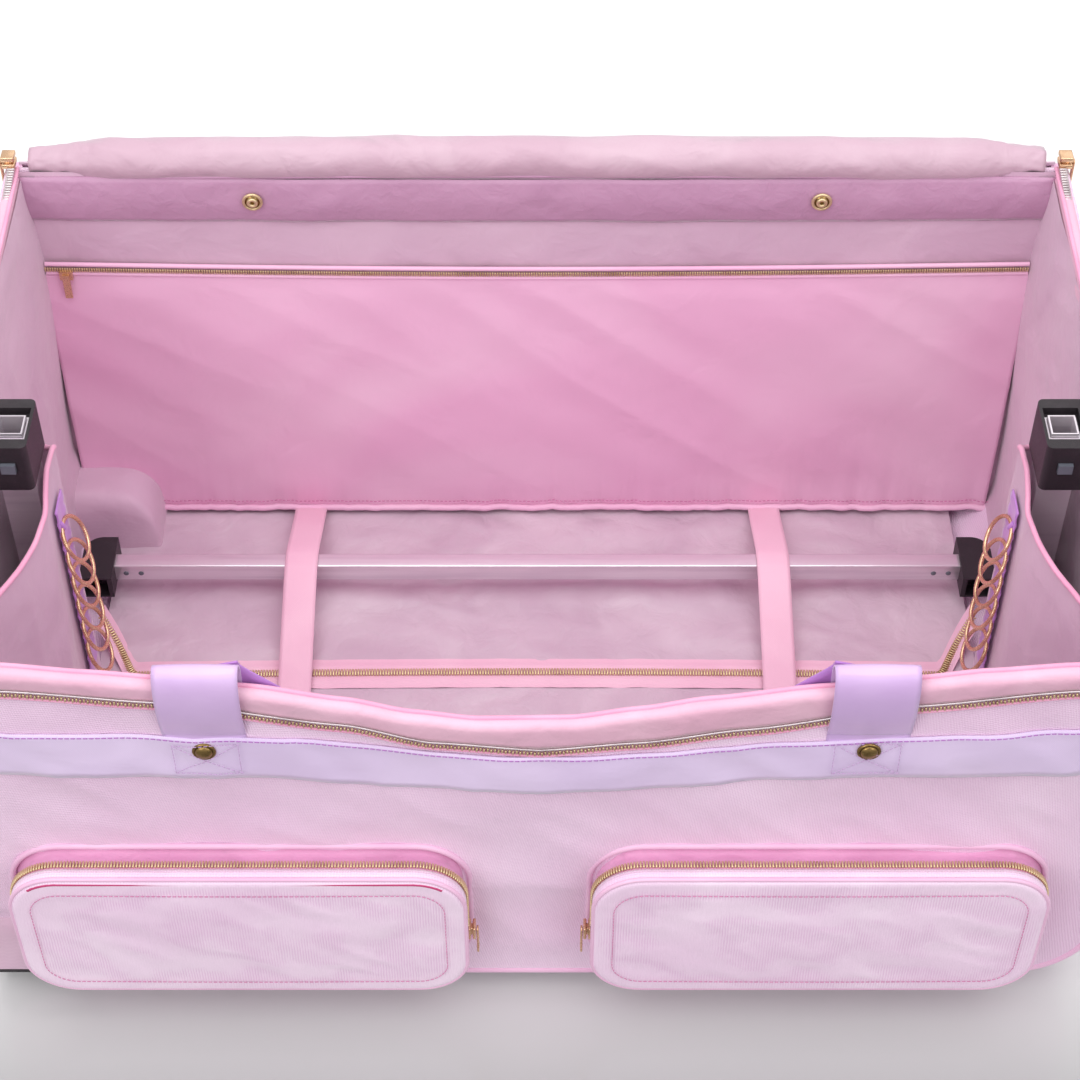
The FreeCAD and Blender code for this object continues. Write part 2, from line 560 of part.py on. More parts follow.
zip_x = f"({END} - corner_radius - 12)"
floor_chain = box("floor_chain", (f"2 * {zip_x}", "floor_zip_wide", "floor_zip_tall"),
                  (f"-{zip_x}", "floor_zip_y", FLOOR))
node("floor_zip", floor_chain)
RAIL_LOW = f"({FLOOR} + rail_lift)"
RAIL_TOP = f"({RAIL_LOW} + elbow_tall / 2 + tube_tall / 2)"
strap_path = [(f"{LINED_BACK} - panel_out - 1", f"{FLOOR} + 0.2"),
              (f"{LINED_BACK} - panel_out - 12", f"{FLOOR} + 0.2"),
              ("rail_y + tube_deep / 2 + 2", f"{RAIL_TOP} + 0.5"),
              ("rail_y - tube_deep / 2 - 2", f"{RAIL_TOP} + 0.5"),
              ("upright_y + 44", f"{FLOOR} + 2.2"), ("upright_y + 22", f"{FLOOR} + 2.2")]
straps, buckles = [], []
for sign in ("-", ""):
    x = f"{sign}strap_spacing / 2 - strap_wide / 2"
    straps.append(strip(f"strap{sign and '_left'}", strap_path, (), "thin_webbing", "strap_wide",
                        (x, "0", "0")))
    buckles.append(box(f"buckle{sign and '_left'}", ("strap_wide + 4", "buckle_deep", "buckle_tall"),
                       (f"{x} - 2", "upright_y + 7.6", f"{FLOOR} + 0.2")))
node("floor_straps", group("straps", *straps))
node("strap_buckles", group("buckles", *buckles))

# ---- the garment rail: a tube with an elbow at each end ----------------------------------

RAIL_MID = f"({RAIL_LOW} + elbow_tall / 2)"
TUBE_HALF = "(rail_half - 4)"
rail = square_tube("rail", "tube_tall", "tube_deep", "tube_wall", f"2 * {TUBE_HALF}")
rail.Placement.Rotation = FreeCAD.Rotation(Vector(0, 1, 0), 90)
place(rail, (f"-{TUBE_HALF}", "rail_y", RAIL_MID))
node("crossbar_tube", rail)


def elbow():
    """The right-hand elbow: rounded outer back corner, a bore for the tube, a front socket."""
    body = doc.addObject("PartDesign::Body", "elbow_body")
    sketch = sketch_on(body, "XY_Plane", "elbow_outline")
    centred_rectangle(sketch, "", "elbow_wide", "elbow_deep")
    block = pad(body, sketch, "elbow_tall")
    doc.recompute()
    outside = [f"Edge{n}" for n, edge in enumerate(block.Shape.Edges, 1)
               if edge.BoundBox.XLength < 0.01 and edge.BoundBox.YLength < 0.01
               and edge.BoundBox.XMin > 1 and edge.BoundBox.YMin > 1]
    rounded = body.newObject("PartDesign::Fillet", "elbow_corner")
    rounded.Base = (block, outside)
    rounded.setExpression("Radius", bound("elbow_round"))
    body.Tip = rounded
    return place(body, ("rail_half", "rail_y", RAIL_LOW))


blank = elbow()
bore = box("elbow_bore", (TUBE_HALF, "tube_deep", "tube_tall"),
           ("0", "rail_y - tube_deep / 2", f"{RAIL_MID} - tube_tall / 2"))
socket = box("elbow_socket", ("inner_tube + 0.4", "elbow_deep / 2 - tube_deep / 2 - 3",
                              "inner_tube + 0.4"),
             ("rail_half - inner_tube / 2 - 0.2", "rail_y - elbow_deep / 2",
              f"{RAIL_MID} - inner_tube / 2 - 0.2"))
right_elbow = cut("elbow_right", blank, fuse("elbow_cuts", bore, socket))
node("crossbar_elbow_right", right_elbow)
node("crossbar_elbow_left", mirrored("elbow_left", right_elbow))
pins = []
for sign in ("-", ""):
    for place_on, offset in (("a", "pin_in"), ("b", "pin_far")):
        x = f"{sign}(rail_half - {offset})"
        pins.append(rod(f"pin{sign and '_left'}_{place_on}", "pin_radius", "pin_out",
                        (x, "rail_y - tube_deep / 2 - 0.8", RAIL_MID), "Y"))
node("crossbar_rivets", group("pins", *pins))

# ---- uprights: outer tube, two telescoping stages, head, button and wall bracket ---------

outer_tube = square_tube("outer", "outer_tube", "outer_tube",
                         "(outer_tube - middle_tube - 2 * slide_gap) / 2",
                         "outer_top - upright_foot")
place(outer_tube, ("rail_half", "upright_y", "upright_foot"))
HEAD_TOP = "(head_low + head_tall)"
middle_tube = square_tube("middle", "middle_tube", "middle_tube",
                          "(middle_tube - inner_tube - 2 * slide_gap) / 2",
                          f"{HEAD_TOP} - 4 - upright_foot - 2")
place(middle_tube, ("rail_half", "upright_y", "upright_foot + 2"))
inner_tube = square_tube("inner_stage", "inner_tube", "inner_tube", "inner_wall",
                         f"{HEAD_TOP} - 1 - upright_foot - 4")
place(inner_tube, ("rail_half", "upright_y", "upright_foot + 4"))

head_block = box("head_block", (f"{LINED_END} - rail_half + head_reach", "head_deep",
                                "head_tall"),
                 ("rail_half - head_reach", "upright_y - head_deep / 2", "head_low"))
edges_off = doc.addObject("Part::Fillet", "head_rounded")
edges_off.Base = head_block
doc.recompute()
inner_face = value("rail_half - head_reach")
edges_off.Edges = [(n, 4.0, 4.0) for n, edge in enumerate(head_block.Shape.Edges, 1)
                   if edge.BoundBox.XMax < inner_face + 0.01 and edge.BoundBox.ZLength > 1]
seat = box("head_seat", ("outer_tube", "outer_tube", "outer_top - head_low"),
           ("rail_half - outer_tube / 2", "upright_y - outer_tube / 2", "head_low"))
neck = box("head_neck", ("middle_tube + 2 * slide_gap", "middle_tube + 2 * slide_gap",
                         "head_tall"),
           ("rail_half - middle_tube / 2 - slide_gap", "upright_y - middle_tube / 2 - slide_gap",
            "head_low"))
sunk = box("head_recess", ("recess - 6", "recess", "recess_deep + 1"),
           ("rail_half - recess / 2 + 3", "upright_y - recess / 2",
            f"{HEAD_TOP} - recess_deep"))
hole = box("button_hole", ("button_wide + 0.6", "button_in + 2", "button_tall + 0.6"),
           ("rail_half - button_wide / 2 - 0.3", "upright_y - head_deep / 2 - 1",
            "outer_top + 2 - 0.3"))
right_head = cut("head", edges_off, fuse("head_cuts", seat, neck, sunk, hole))
button = box("button", ("button_wide", "button_in - 3 + button_out", "button_tall"),
             ("rail_half - button_wide / 2", "upright_y - head_deep / 2 - button_out",
              "outer_top + 2"))
bracket = box("bracket_block", (f"{LINED_END} - rail_half + head_reach", "outer_tube + 8", "16"),
              ("rail_half - head_reach", "upright_y - outer_tube / 2 - 4", f"{BANK} + 6"))
clasp = box("bracket_hole", ("outer_tube", "outer_tube", "20"),
            ("rail_half - outer_tube / 2", "upright_y - outer_tube / 2", f"{BANK} + 4"))
right_bracket = cut("bracket", bracket, clasp)
for label, item in (("upright_outer", outer_tube), ("upright_middle", middle_tube),
                    ("upright_inner", inner_tube), ("upright_head", right_head),
                    ("release_button", button)):
    node(f"{label}_right", item)
    node(f"{label}_left", mirrored(f"{label}_mirror", item))
node("upright_brackets", group("brackets", right_bracket,
                               mirrored("bracket_mirror", right_bracket)))

# ---- end pockets with their ring strips --------------------------------------------------

POCKET_X = f"({LINED_END} - end_reach)"


def end_box(name, grow, low, top, front, back):
    """A block against the right end wall, from upright_y - front to upright_y + back."""
    return box(name, (f"end_reach - ({grow}) + 1", f"({front}) + ({back}) - 2 * ({grow})",
                      f"({top}) - ({low})"),
               (f"{POCKET_X} + ({grow})", f"upright_y - ({front}) + ({grow})", low))


cover = fuse("cover", end_box("cover_main", "0", FLOOR, "end_top", "end_front", "end_back"),
             end_box("cover_sleeve", "0", FLOOR, "sleeve_top", "end_back", "end_back"))
inside = end_box("cover_inside", "pocket_wall", f"{FLOOR} + 2", "2 * sleeve_top", "end_front",
                 "end_back")
end_shell = cut("end_shell", common("cover_fit", cover, hollow), inside)
node("end_pocket_right", end_shell)
node("end_pocket_left", mirrored("end_pocket_mirror", end_shell))

ribbon = box("ring_ribbon", ("webbing", "strip_wide", "end_top - 12 - strip_low"),
             (f"{POCKET_X} - webbing", "upright_y - strip_wide / 2", "strip_low"))
node("ring_strips", group("ribbons", ribbon, mirrored("ribbon_mirror", ribbon)))
REACH = "ring_radius + ring_wire"
rings = []
for index in range(6):
    ring = doc.addObject("Part::Torus", f"ring_{index}")
    ring.setExpression("Radius1", bound("ring_radius"))
    ring.setExpression("Radius2", bound("ring_wire"))
    ring.Placement.Rotation = FreeCAD.Rotation(Vector(0, 1, 0), 1)
    ring.setExpression(".Placement.Rotation.Angle", bound("90 + ring_tilt"))
    place(ring, (f"{POCKET_X} - webbing - 0.3 - ring_wire - ring_radius * sin(ring_tilt)",
                 "upright_y - 4", f"strip_low + 22 + {index} * ring_pitch"))
    rings.append(ring)
right_rings = group("ring_set", *rings)
node("rings_right", right_rings)
node("rings_left", mirrored("ring_mirror", right_rings))

# ---- zip sliders and the pulls that hang from them ---------------------------------------

PULL_Y = f"({FRONT} - pocket_deep / 2)"
left_edge = "(pocket_left_x + pocket_width / 2)"
right_edge = "(pocket_right_x - pocket_width / 2)"
SLIDER_Z = "(pocket_zip_from - 11)"
blocks = [box("left_pocket_slider", ("slider_thick", "slider_wide", "slider_long"),
              (left_edge, f"{PULL_Y} - 4.5", SLIDER_Z)),
          box("right_pocket_slider", ("slider_thick", "slider_wide", "slider_long"),
              (f"{right_edge} - 5", f"{PULL_Y} - 4.5", SLIDER_Z))]
MAIN_Z = f"({BACK_TOP} + 4)"
MAIN_X = f"({END} + 3)"
for tag, x in (("left", f"-{MAIN_X}"), ("right", f"{MAIN_X} - 9")):
    blocks.append(box(f"main_slider_{tag}", ("main_slider", "main_slider_deep", "main_slider"),
                      (x, f"{BACK} - 9", MAIN_Z)))
node("zip_sliders", group("slider_blocks", *blocks))

HANG_Z = f"{SLIDER_Z} - 17"
MAIN_HANG_Z = f"{MAIN_Z} - 25"
pulls = {
    "front_pocket_pull_left": (f"{left_edge} + 5.3", f"{PULL_Y} - 3", HANG_Z),
    "front_pocket_pull_right": (f"{right_edge} - 6.8", f"{PULL_Y} - 3", HANG_Z),
    "main_zip_pull_left": (f"-{MAIN_X} - 1.8", f"{BACK} - 8", MAIN_HANG_Z),
    "main_zip_pull_right": (f"{MAIN_X} + 0.3", f"{BACK} - 8", MAIN_HANG_Z),
}
for label, corner in pulls.items():
    tall = "main_pull_long" if label.startswith("main") else "pull_long"
    node(label, box(f"{label}_plate", ("plate_thick", "pull_wide", tall), corner))

# ---- the lid, folded back over the rear edge ---------------------------------------------

roll = rod("roll", "roll_radius", f"2 * ({END} - 14)", (f"-{END} + 14", HINGE_Y, HINGE_Z), "X")
wall_top = box("roll_rest", ("2 * bag_length", "bag_depth", "2 * back_rise"),
               ("-bag_length", f"{BACK} - bag_depth", f"{BACK_TOP} - 2 * back_rise"))
above_wall = fuse("roll_keepout", wall_top, *[blocks[i] for i in (2, 3)])
node("lid_roll", cut("roll_cut", roll, above_wall))

# drawn closed about the hinge line, then leaned back; the lid's far edge points along +Y
lid_plate = box("lid_plate", ("bag_length", "lid_reach", "lid_thick"),
                (f"-{END}", "lid_start", "-lid_thick / 2"))
zip_out = box("lid_zip_out", ("bag_length", "lid_reach - lid_side_from", "lid_zip_tall"),
              (f"-{END}", "lid_start + lid_side_from", "lid_thick / 2"))
zip_in = box("lid_zip_in", ("bag_length - 4", "lid_reach - 2", "3 * lid_zip_tall"),
             (f"-{END} + 2", "lid_start", "-lid_zip_tall"))
lid_rim = cut("lid_rim", zip_out, zip_in)
for label, source in (("lid_panel", lid_plate), ("lid_zip", lid_rim)):
    holder = group(f"{label}_leaned", source)
    turn(holder, Vector(1, 0, 0), "lid_lean")
    place(holder, ("0", HINGE_Y, HINGE_Z))
    node(label, holder)

# ---- check every object, then write each piece -------------------------------------------

doc.recompute()
for item in doc.Objects:
    if "Invalid" in item.State or "Error" in item.State:
        raise RuntimeError(f"{item.Name} ({item.Label}) failed: {item.State} {item.getStatusString()}")
for label, item in sorted(NODES.items()):
    shape = item.Shape
    if shape.isNull() or not shape.isValid() or not shape.Solids:
        raise RuntimeError(f"{label} has no valid solid")
    shape.exportStep(f"parts/{label}.step")
    print(label, len(shape.Solids), round(shape.Volume), shape.BoundBox)
print(len(NODES), "nodes")
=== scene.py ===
import math

import bmesh
import bpy
from mathutils import Matrix, Vector, noise


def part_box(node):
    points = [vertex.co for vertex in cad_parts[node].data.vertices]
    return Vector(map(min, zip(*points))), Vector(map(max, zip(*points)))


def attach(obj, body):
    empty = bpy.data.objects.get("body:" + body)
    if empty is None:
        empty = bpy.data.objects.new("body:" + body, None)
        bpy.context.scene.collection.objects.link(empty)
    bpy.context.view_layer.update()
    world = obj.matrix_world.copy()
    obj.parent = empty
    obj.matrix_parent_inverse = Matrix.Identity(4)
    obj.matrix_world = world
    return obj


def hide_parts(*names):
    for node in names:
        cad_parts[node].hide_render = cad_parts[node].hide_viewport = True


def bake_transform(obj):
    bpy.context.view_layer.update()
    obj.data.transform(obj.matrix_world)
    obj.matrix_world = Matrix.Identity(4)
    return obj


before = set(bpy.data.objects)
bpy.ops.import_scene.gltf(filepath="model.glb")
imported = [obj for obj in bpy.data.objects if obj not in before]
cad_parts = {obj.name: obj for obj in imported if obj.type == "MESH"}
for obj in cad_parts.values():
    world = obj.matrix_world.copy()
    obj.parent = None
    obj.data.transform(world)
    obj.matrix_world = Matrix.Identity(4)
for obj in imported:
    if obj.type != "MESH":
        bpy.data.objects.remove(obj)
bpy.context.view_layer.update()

# Shapes are worked out in millimetres and MM turns them into metres.
MM = 0.001
END = 355.5          # half the bag's length
FRONT = -210.0
BACK = 210.0
BASE = 18            # the underside
CORNER = 50          # radius of the lower corners
BEND = BASE + CORNER  # where a corner meets the wall
RIM_FRONT = 319      # the end walls' height at the front
RIM_BACK = 349.5
RIM_TURN = 14        # radius of the rim's corners
HANDLE_X = 190       # the middle of each handle leg
STRAP_X = 174        # the middle of each floor strap
HINGE_Y, HINGE_Z = 214, 354
SIDES = (("left", -1), ("right", 1))


# ---- small helpers ------------------------------------------------------------------------

def eased(table, at):
    """A smooth line through the table's (place, height) pairs."""
    if at <= table[0][0]:
        return table[0][1]
    for (x0, y0), (x1, y1) in zip(table, table[1:]):
        if at <= x1:
            step = (at - x0) / (x1 - x0)
            ease = 0.55 * step + 0.45 * step * step * (3 - 2 * step)
            return y0 + (y1 - y0) * ease
    return table[-1][1]


def smooth(low, high, at):
    """From 0 at low to 1 at high, flat at both ends."""
    step = min(max((at - low) / (high - low), 0.0), 1.0)
    return step * step * (3 - 2 * step)


def ripple(x, y, z, size, seed=0.0):
    """Soft noise from -1 to 1 that changes over about size millimetres."""
    return noise.noise(Vector((x / size + seed, y / size - seed, z / size + 3 * seed)))


def crease(x, y, z, size, seed=0.0):
    """Ridges that rise to 1 with soft valleys between them, as in slack cloth."""
    return 1 - abs(ripple(x, y, z, size, seed)) * 2.2


def finish_mesh(bm, name, material, facing=None):
    """The bmesh as a smooth piece, turned over if it mostly looks away from facing."""
    if facing is not None:
        total = Vector((0, 0, 0))
        for face in bm.faces:
            total += face.normal * face.calc_area()
        if total.dot(Vector(facing)) < 0:
            bmesh.ops.reverse_faces(bm, faces=bm.faces)
    mesh = bpy.data.meshes.new(name)
    bm.to_mesh(mesh)
    bm.free()
    for face in mesh.polygons:
        face.use_smooth = True
    piece = bpy.data.objects.new(name, mesh)
    bpy.context.scene.collection.objects.link(piece)
    mesh.materials.append(material)
    return piece


def add_wall(piece, thick):
    """Give a sheet its thickness, on the inner side."""
    wall = piece.modifiers.new("Thickness", "SOLIDIFY")
    wall.thickness = thick * MM
    wall.offset = -1
    return piece


def cloth(name, shape, across, along, size, material, facing=None, joined=False):
    """A grid laid over shape(u, v), with u and v from 0 to 1, and its cut size as the map."""
    bm = bmesh.new()
    layer = bm.loops.layers.uv.new("UVMap")
    bmesh.ops.create_grid(bm, x_segments=across, y_segments=along, size=0.5, calc_uvs=True)
    for face in bm.faces:
        for loop in face.loops:
            u, v = loop[layer].uv
            loop[layer].uv = (u * size[0] * MM, v * size[1] * MM)
    for vert in bm.verts:
        vert.co = Vector(shape(vert.co.x + 0.5, vert.co.y + 0.5)) * MM
    if joined:
        bmesh.ops.remove_doubles(bm, verts=bm.verts, dist=1e-6)
        bmesh.ops.holes_fill(bm, edges=bm.edges, sides=0)
        bmesh.ops.recalc_face_normals(bm, faces=bm.faces)
        facing = None
    bm.normal_update()
    return finish_mesh(bm, name, material, facing)


def block(name, low, high, round_by, material, segments=3):
    """A block between two corners with rounded edges."""
    bm = bmesh.new()
    bmesh.ops.create_cube(bm, size=1.0)
    middle = [(a + b) / 2 * MM for a, b in zip(low, high)]
    span = [(b - a) * MM for a, b in zip(low, high)]
    bmesh.ops.transform(bm, matrix=Matrix.Translation(middle) @ Matrix.Diagonal((*span, 1)),
                        verts=bm.verts)
    bmesh.ops.bevel(bm, geom=bm.edges, offset=round_by * MM, segments=segments, profile=0.5,
                    affect="EDGES", material=-1)
    return finish_mesh(bm, name, material)


def join(name, pieces):
    """One piece made of several, each keeping its own material."""
    bpy.ops.object.select_all(action="DESELECT")
    for piece in pieces:
        piece.select_set(True)
    bpy.context.view_layer.objects.active = pieces[0]
    bpy.ops.object.join()
    pieces[0].name = name
    return pieces[0]


def baked(piece):
    """The piece with its modifiers applied."""
    bpy.context.view_layer.update()
    shaped = piece.evaluated_get(bpy.context.evaluated_depsgraph_get())
    mesh = bpy.data.meshes.new_from_object(shaped)
    piece.modifiers.clear()
    piece.data = mesh
    return piece


def rope(name, points, radius, material, closed=False):
    """A round cord through the points, as piping or thread."""
    curve = bpy.data.curves.new(name, "CURVE")
    curve.dimensions = "3D"
    curve.bevel_depth = radius * MM
    curve.bevel_resolution = 3
    curve.use_fill_caps = True
    line = curve.splines.new("POLY")
    line.points.add(len(points) - 1)
    for spot, place in zip(line.points, points):
        spot.co = (*(c * MM for c in place), 1)
    line.use_cyclic_u = closed
    drawn = bpy.data.objects.new(name + "_line", curve)
    bpy.context.scene.collection.objects.link(drawn)
    bpy.context.view_layer.update()
    mesh = bpy.data.meshes.new_from_object(
        drawn.evaluated_get(bpy.context.evaluated_depsgraph_get()))
    bpy.data.objects.remove(drawn)
    piece = bpy.data.objects.new(name, mesh)
    bpy.context.scene.collection.objects.link(piece)
    mesh.materials.clear()
    mesh.materials.append(material)
    for face in mesh.polygons:
        face.use_smooth = True
    return piece


def spaced(points, pitch):
    """Places every pitch millimetres along the points, each with its direction."""
    found = []
    left = 0.0
    for here, there in zip(points, points[1:]):
        here, there = Vector(here), Vector(there)
        run = (there - here).length
        if run < 1e-6:
            continue
        way = (there - here) / run
        at = left
        while at < run:
            found.append((here + way * at, way))
            at += pitch
        left = at - run
    return found


def teeth(name, points, pitch, size, material, outward, stagger=0.0):
    """A row of small rounded teeth along the points. size is along, across and out."""
    one = bmesh.new()
    bmesh.ops.create_cube(one, size=1.0)
    bmesh.ops.transform(one, matrix=Matrix.Diagonal((*(s * MM for s in size), 1)), verts=one.verts)
    bmesh.ops.bevel(one, geom=one.edges, offset=0.28 * min(size) * MM, segments=1, profile=0.5,
                    affect="EDGES", material=-1)
    tooth = bpy.data.meshes.new("tooth")
    one.to_mesh(tooth)
    one.free()
    bm = bmesh.new()
    for index, (place, way) in enumerate(spaced(points, pitch)):
        out = Vector(outward(place) if callable(outward) else outward)
        across = out.cross(way).normalized()
        out = way.cross(across)
        place = place + across * (stagger if index % 2 else -stagger)
        turned = Matrix((way, across, out)).transposed().to_4x4()
        before = len(bm.verts)
        bm.from_mesh(tooth)
        bm.verts.ensure_lookup_table()
        bmesh.ops.transform(bm, matrix=Matrix.Translation(place * MM) @ turned,
                            verts=bm.verts[before:])
    bpy.data.meshes.remove(tooth)
    return finish_mesh(bm, name, material)


def bead(name, place, radii, around, material):
    """A ball squashed to three radii."""
    bm = bmesh.new()
    bmesh.ops.create_uvsphere(bm, u_segments=around, v_segments=around // 2, radius=1.0)
    shaped = Matrix.Translation(Vector(place) * MM) @ Matrix.Diagonal((*(r * MM for r in radii), 1))
    bmesh.ops.transform(bm, matrix=shaped, verts=bm.verts)
    return finish_mesh(bm, name, material)


def circle(x, y, z, reach, half):
    """Places round an upright circle that faces the front, half of them above its middle."""
    return [(x + reach * math.cos(a / half * math.pi), y, z + reach * math.sin(a / half * math.pi))
            for a in range(2 * half)]


def placed(piece, body="bag", nodes=()):
    """The piece riding on its body and the nodes it stands for."""
    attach(piece, body)
    if nodes:
        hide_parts(*nodes)
    return piece


# ---- shared finishes ----------------------------------------------------------------------

FLOAT, POINT = "NodeSocketFloat", "NodeSocketVector"


def new_group(name, inputs, outputs):
    """A node group with its inputs as (name, kind, default) and outputs that are all values."""
    tree = bpy.data.node_groups.new(name, "ShaderNodeTree")
    for label, kind, default in inputs:
        socket = tree.interface.new_socket(label, in_out="INPUT", socket_type=kind)
        if default is not None:
            socket.default_value = default
    for label in outputs:
        tree.interface.new_socket(label, in_out="OUTPUT", socket_type=FLOAT)
    return tree, tree.nodes.new("NodeGroupInput").outputs, tree.nodes.new("NodeGroupOutput")


def feed(tree, node, inputs):
    """Give the node's inputs, each as a value or as a socket."""
    for key, given in inputs.items():
        if isinstance(given, bpy.types.NodeSocket):
            tree.links.new(given, node.inputs[key])
        else:
            node.inputs[key].default_value = given


def wired(tree, kind, inputs=(), **settings):
    """A shader node with its settings and its inputs."""
    made = tree.nodes.new("ShaderNode" + kind)
    for key, setting in settings.items():
        setattr(made, key, setting)
    feed(tree, made, dict(inputs))
    return made


def maths(tree, operation, *terms):
    return wired(tree, "Math", enumerate(terms), operation=operation).outputs[0]


def noisy(tree, place, scale, detail, **more):
    return wired(tree, "TexNoise", {"Vector": place, "Scale": scale, "Detail": detail, **more})


def ranged(tree, value, low, high, start, stop):
    """The value from low to high stretched to run from start to stop."""
    return wired(tree, "MapRange", enumerate((value, low, high, start, stop))).outputs[0]


def mixed(tree, share, first, second):
    return wired(tree, "Mix", {0: share, 6: first, 7: second}, data_type="RGBA").outputs[2]


def bumped(tree, strength, distance, height, **more):
    return wired(tree, "Bump", {"Strength": strength, "Distance": distance, "Height": height,
                                **more}).outputs[0]


def weave_group():
    """Crossing threads on a map in metres: a height and a mask of the gaps."""
    tree, given, out = new_group(
        "Woven threads",
        [("Map", POINT, None), ("Threads per metre", FLOAT, 900.0), ("Diagonal", FLOAT, 0.0),
         ("Uneven", FLOAT, 0.25)],
        ["Height", "Gaps"])
    angle = wired(tree, "CombineXYZ", {"Z": given["Diagonal"]})
    turned = wired(tree, "Mapping", {"Vector": given["Map"], "Rotation": angle.outputs[0]})
    slack = noisy(tree, given["Map"], 160.0, 2.0)
    shift = wired(tree, "VectorMath", {0: slack.outputs["Color"], 1: (0.0007, 0.0007, 0.0007)},
                  operation="MULTIPLY")
    loose = wired(tree, "VectorMath", {0: turned.outputs[0], 1: shift.outputs[0]},
                  operation="ADD")
    fine = wired(tree, "VectorMath", {0: loose.outputs[0], "Scale": given["Threads per metre"]},
                 operation="SCALE")
    parts = wired(tree, "SeparateXYZ", {0: fine.outputs[0]})
    waves = [maths(tree, "SINE", maths(tree, "MULTIPLY", parts.outputs[axis], 2 * math.pi))
             for axis in ("X", "Y")]
    height = maths(tree, "MULTIPLY_ADD", maths(tree, "MULTIPLY", *waves), 0.5, 0.5)
    uneven = noisy(tree, given["Map"], 700.0, 3.0)
    rough = maths(tree, "MULTIPLY", uneven.outputs[0], given["Uneven"])
    feed(tree, out, {"Height": maths(tree, "ADD", height, rough),
                     "Gaps": ranged(tree, height, 0.0, 0.45, 1.0, 0.0)})
    return tree


def slack_group():
    """Broad soft folds and small puckers in cloth, on object places in metres."""
    tree, given, out = new_group(
        "Slack cloth",
        [("Place", POINT, None), ("Fold scale", FLOAT, 14.0), ("Pucker scale", FLOAT, 70.0)],
        ["Height", "Patches"])
    broad = noisy(tree, given["Place"], given["Fold scale"], 2.0, Distortion=0.6).outputs[0]
    small = noisy(tree, given["Place"], given["Pucker scale"], 3.0, Distortion=0.4).outputs[0]
    ridge = maths(tree, "MULTIPLY", small, 0.3)
    feed(tree, out, {"Height": maths(tree, "ADD", broad, ridge),
                     "Patches": ranged(tree, broad, 0.35, 0.65, 0.0, 1.0)})
    return tree


def grain_group():
    """Fine grain and faint scuffs, on object places in metres."""
    tree, given, out = new_group(
        "Grain and scuffs",
        [("Place", POINT, None), ("Grain scale", FLOAT, 900.0), ("Scuff scale", FLOAT, 40.0)],
        ["Height", "Scuffs"])
    grain = noisy(tree, given["Place"], given["Grain scale"], 4.0).outputs[0]
    scuff = noisy(tree, given["Place"], given["Scuff scale"], 6.0, Roughness=0.7).outputs[0]
    feed(tree, out, {"Height": grain, "Scuffs": ranged(tree, scuff, 0.5, 0.75, 0.0, 1.0)})
    return tree


WEAVE = weave_group()
SLACK = slack_group()
GRAIN = grain_group()


def linear(colour):
    """A display colour from 0 to 255 as the shader's own."""
    return tuple((c / 255 / 12.92 if c / 255 <= 0.04045 else ((c / 255 + 0.055) / 1.055) ** 2.4)
                 for c in colour) + (1.0,)


def blank(name):
    made = bpy.data.materials.new(name)
    made.use_nodes = True
    tree = made.node_tree
    return made, tree, tree.nodes["Principled BSDF"]


def fabric(name, colour, deep, threads=900.0, diagonal=0.0, weave_bump=0.12, slack_bump=0.5,
           rough=0.62, sheen=0.35, folds=14.0, pucker=70.0, coat=0.0, mapped=True, spread=0.5,
           gaps=0.35):
    """Woven cloth: colour on the threads, deep between them and in slack patches."""
    made, tree, shader = blank(name)
    place = wired(tree, "TexCoord").outputs
    woven = wired(tree, "Group", {"Map": place["UV" if mapped else "Object"],
                                  "Threads per metre": threads, "Diagonal": diagonal},
                  node_tree=WEAVE).outputs
    slack = wired(tree, "Group", {"Place": place["Object"], "Fold scale": folds,
                                  "Pucker scale": pucker}, node_tree=SLACK).outputs
    between = [0.55 * a + 0.45 * b for a, b in zip(colour, deep)]
    broad = mixed(tree, maths(tree, "MULTIPLY", slack["Patches"], spread), linear(colour),
                  linear(between))
    final = mixed(tree, maths(tree, "MULTIPLY", woven["Gaps"], gaps), broad, linear(deep))
    thread = bumped(tree, weave_bump, 0.0004, woven["Height"])
    feed(tree, shader, {
        "Base Color": final,
        "Normal": bumped(tree, slack_bump, 0.009, slack["Height"], Normal=thread),
        "Roughness": ranged(tree, slack["Patches"], 0.0, 1.0, rough, rough + 0.1)})
    shader.inputs["Sheen Weight"].default_value = sheen
    shader.inputs["Sheen Roughness"].default_value = 0.4
    shader.inputs["Coat Weight"].default_value = coat
    shader.inputs["Coat Roughness"].default_value = 0.35
    return made


def hard(name, colour, worn, rough=0.45, metallic=0.0, bump=0.1, grain=900.0, scuff=40.0,
         stretch=(1, 1, 1)):
    """Metal or moulded plastic with grain, and scuffs of the worn colour."""
    made, tree, shader = blank(name)
    place = wired(tree, "TexCoord")
    spread = wired(tree, "Mapping", {"Vector": place.outputs["Object"], "Scale": stretch})
    grit = wired(tree, "Group", {"Place": spread.outputs[0], "Grain scale": grain,
                                 "Scuff scale": scuff}, node_tree=GRAIN).outputs
    feed(tree, shader, {
        "Base Color": mixed(tree, grit["Scuffs"], linear(colour), linear(worn)),
        "Normal": bumped(tree, bump, 0.0003, grit["Height"]),
        "Roughness": ranged(tree, grit["Height"], 0.3, 0.7, rough - 0.06, rough + 0.06)})
    shader.inputs["Metallic"].default_value = metallic
    return made


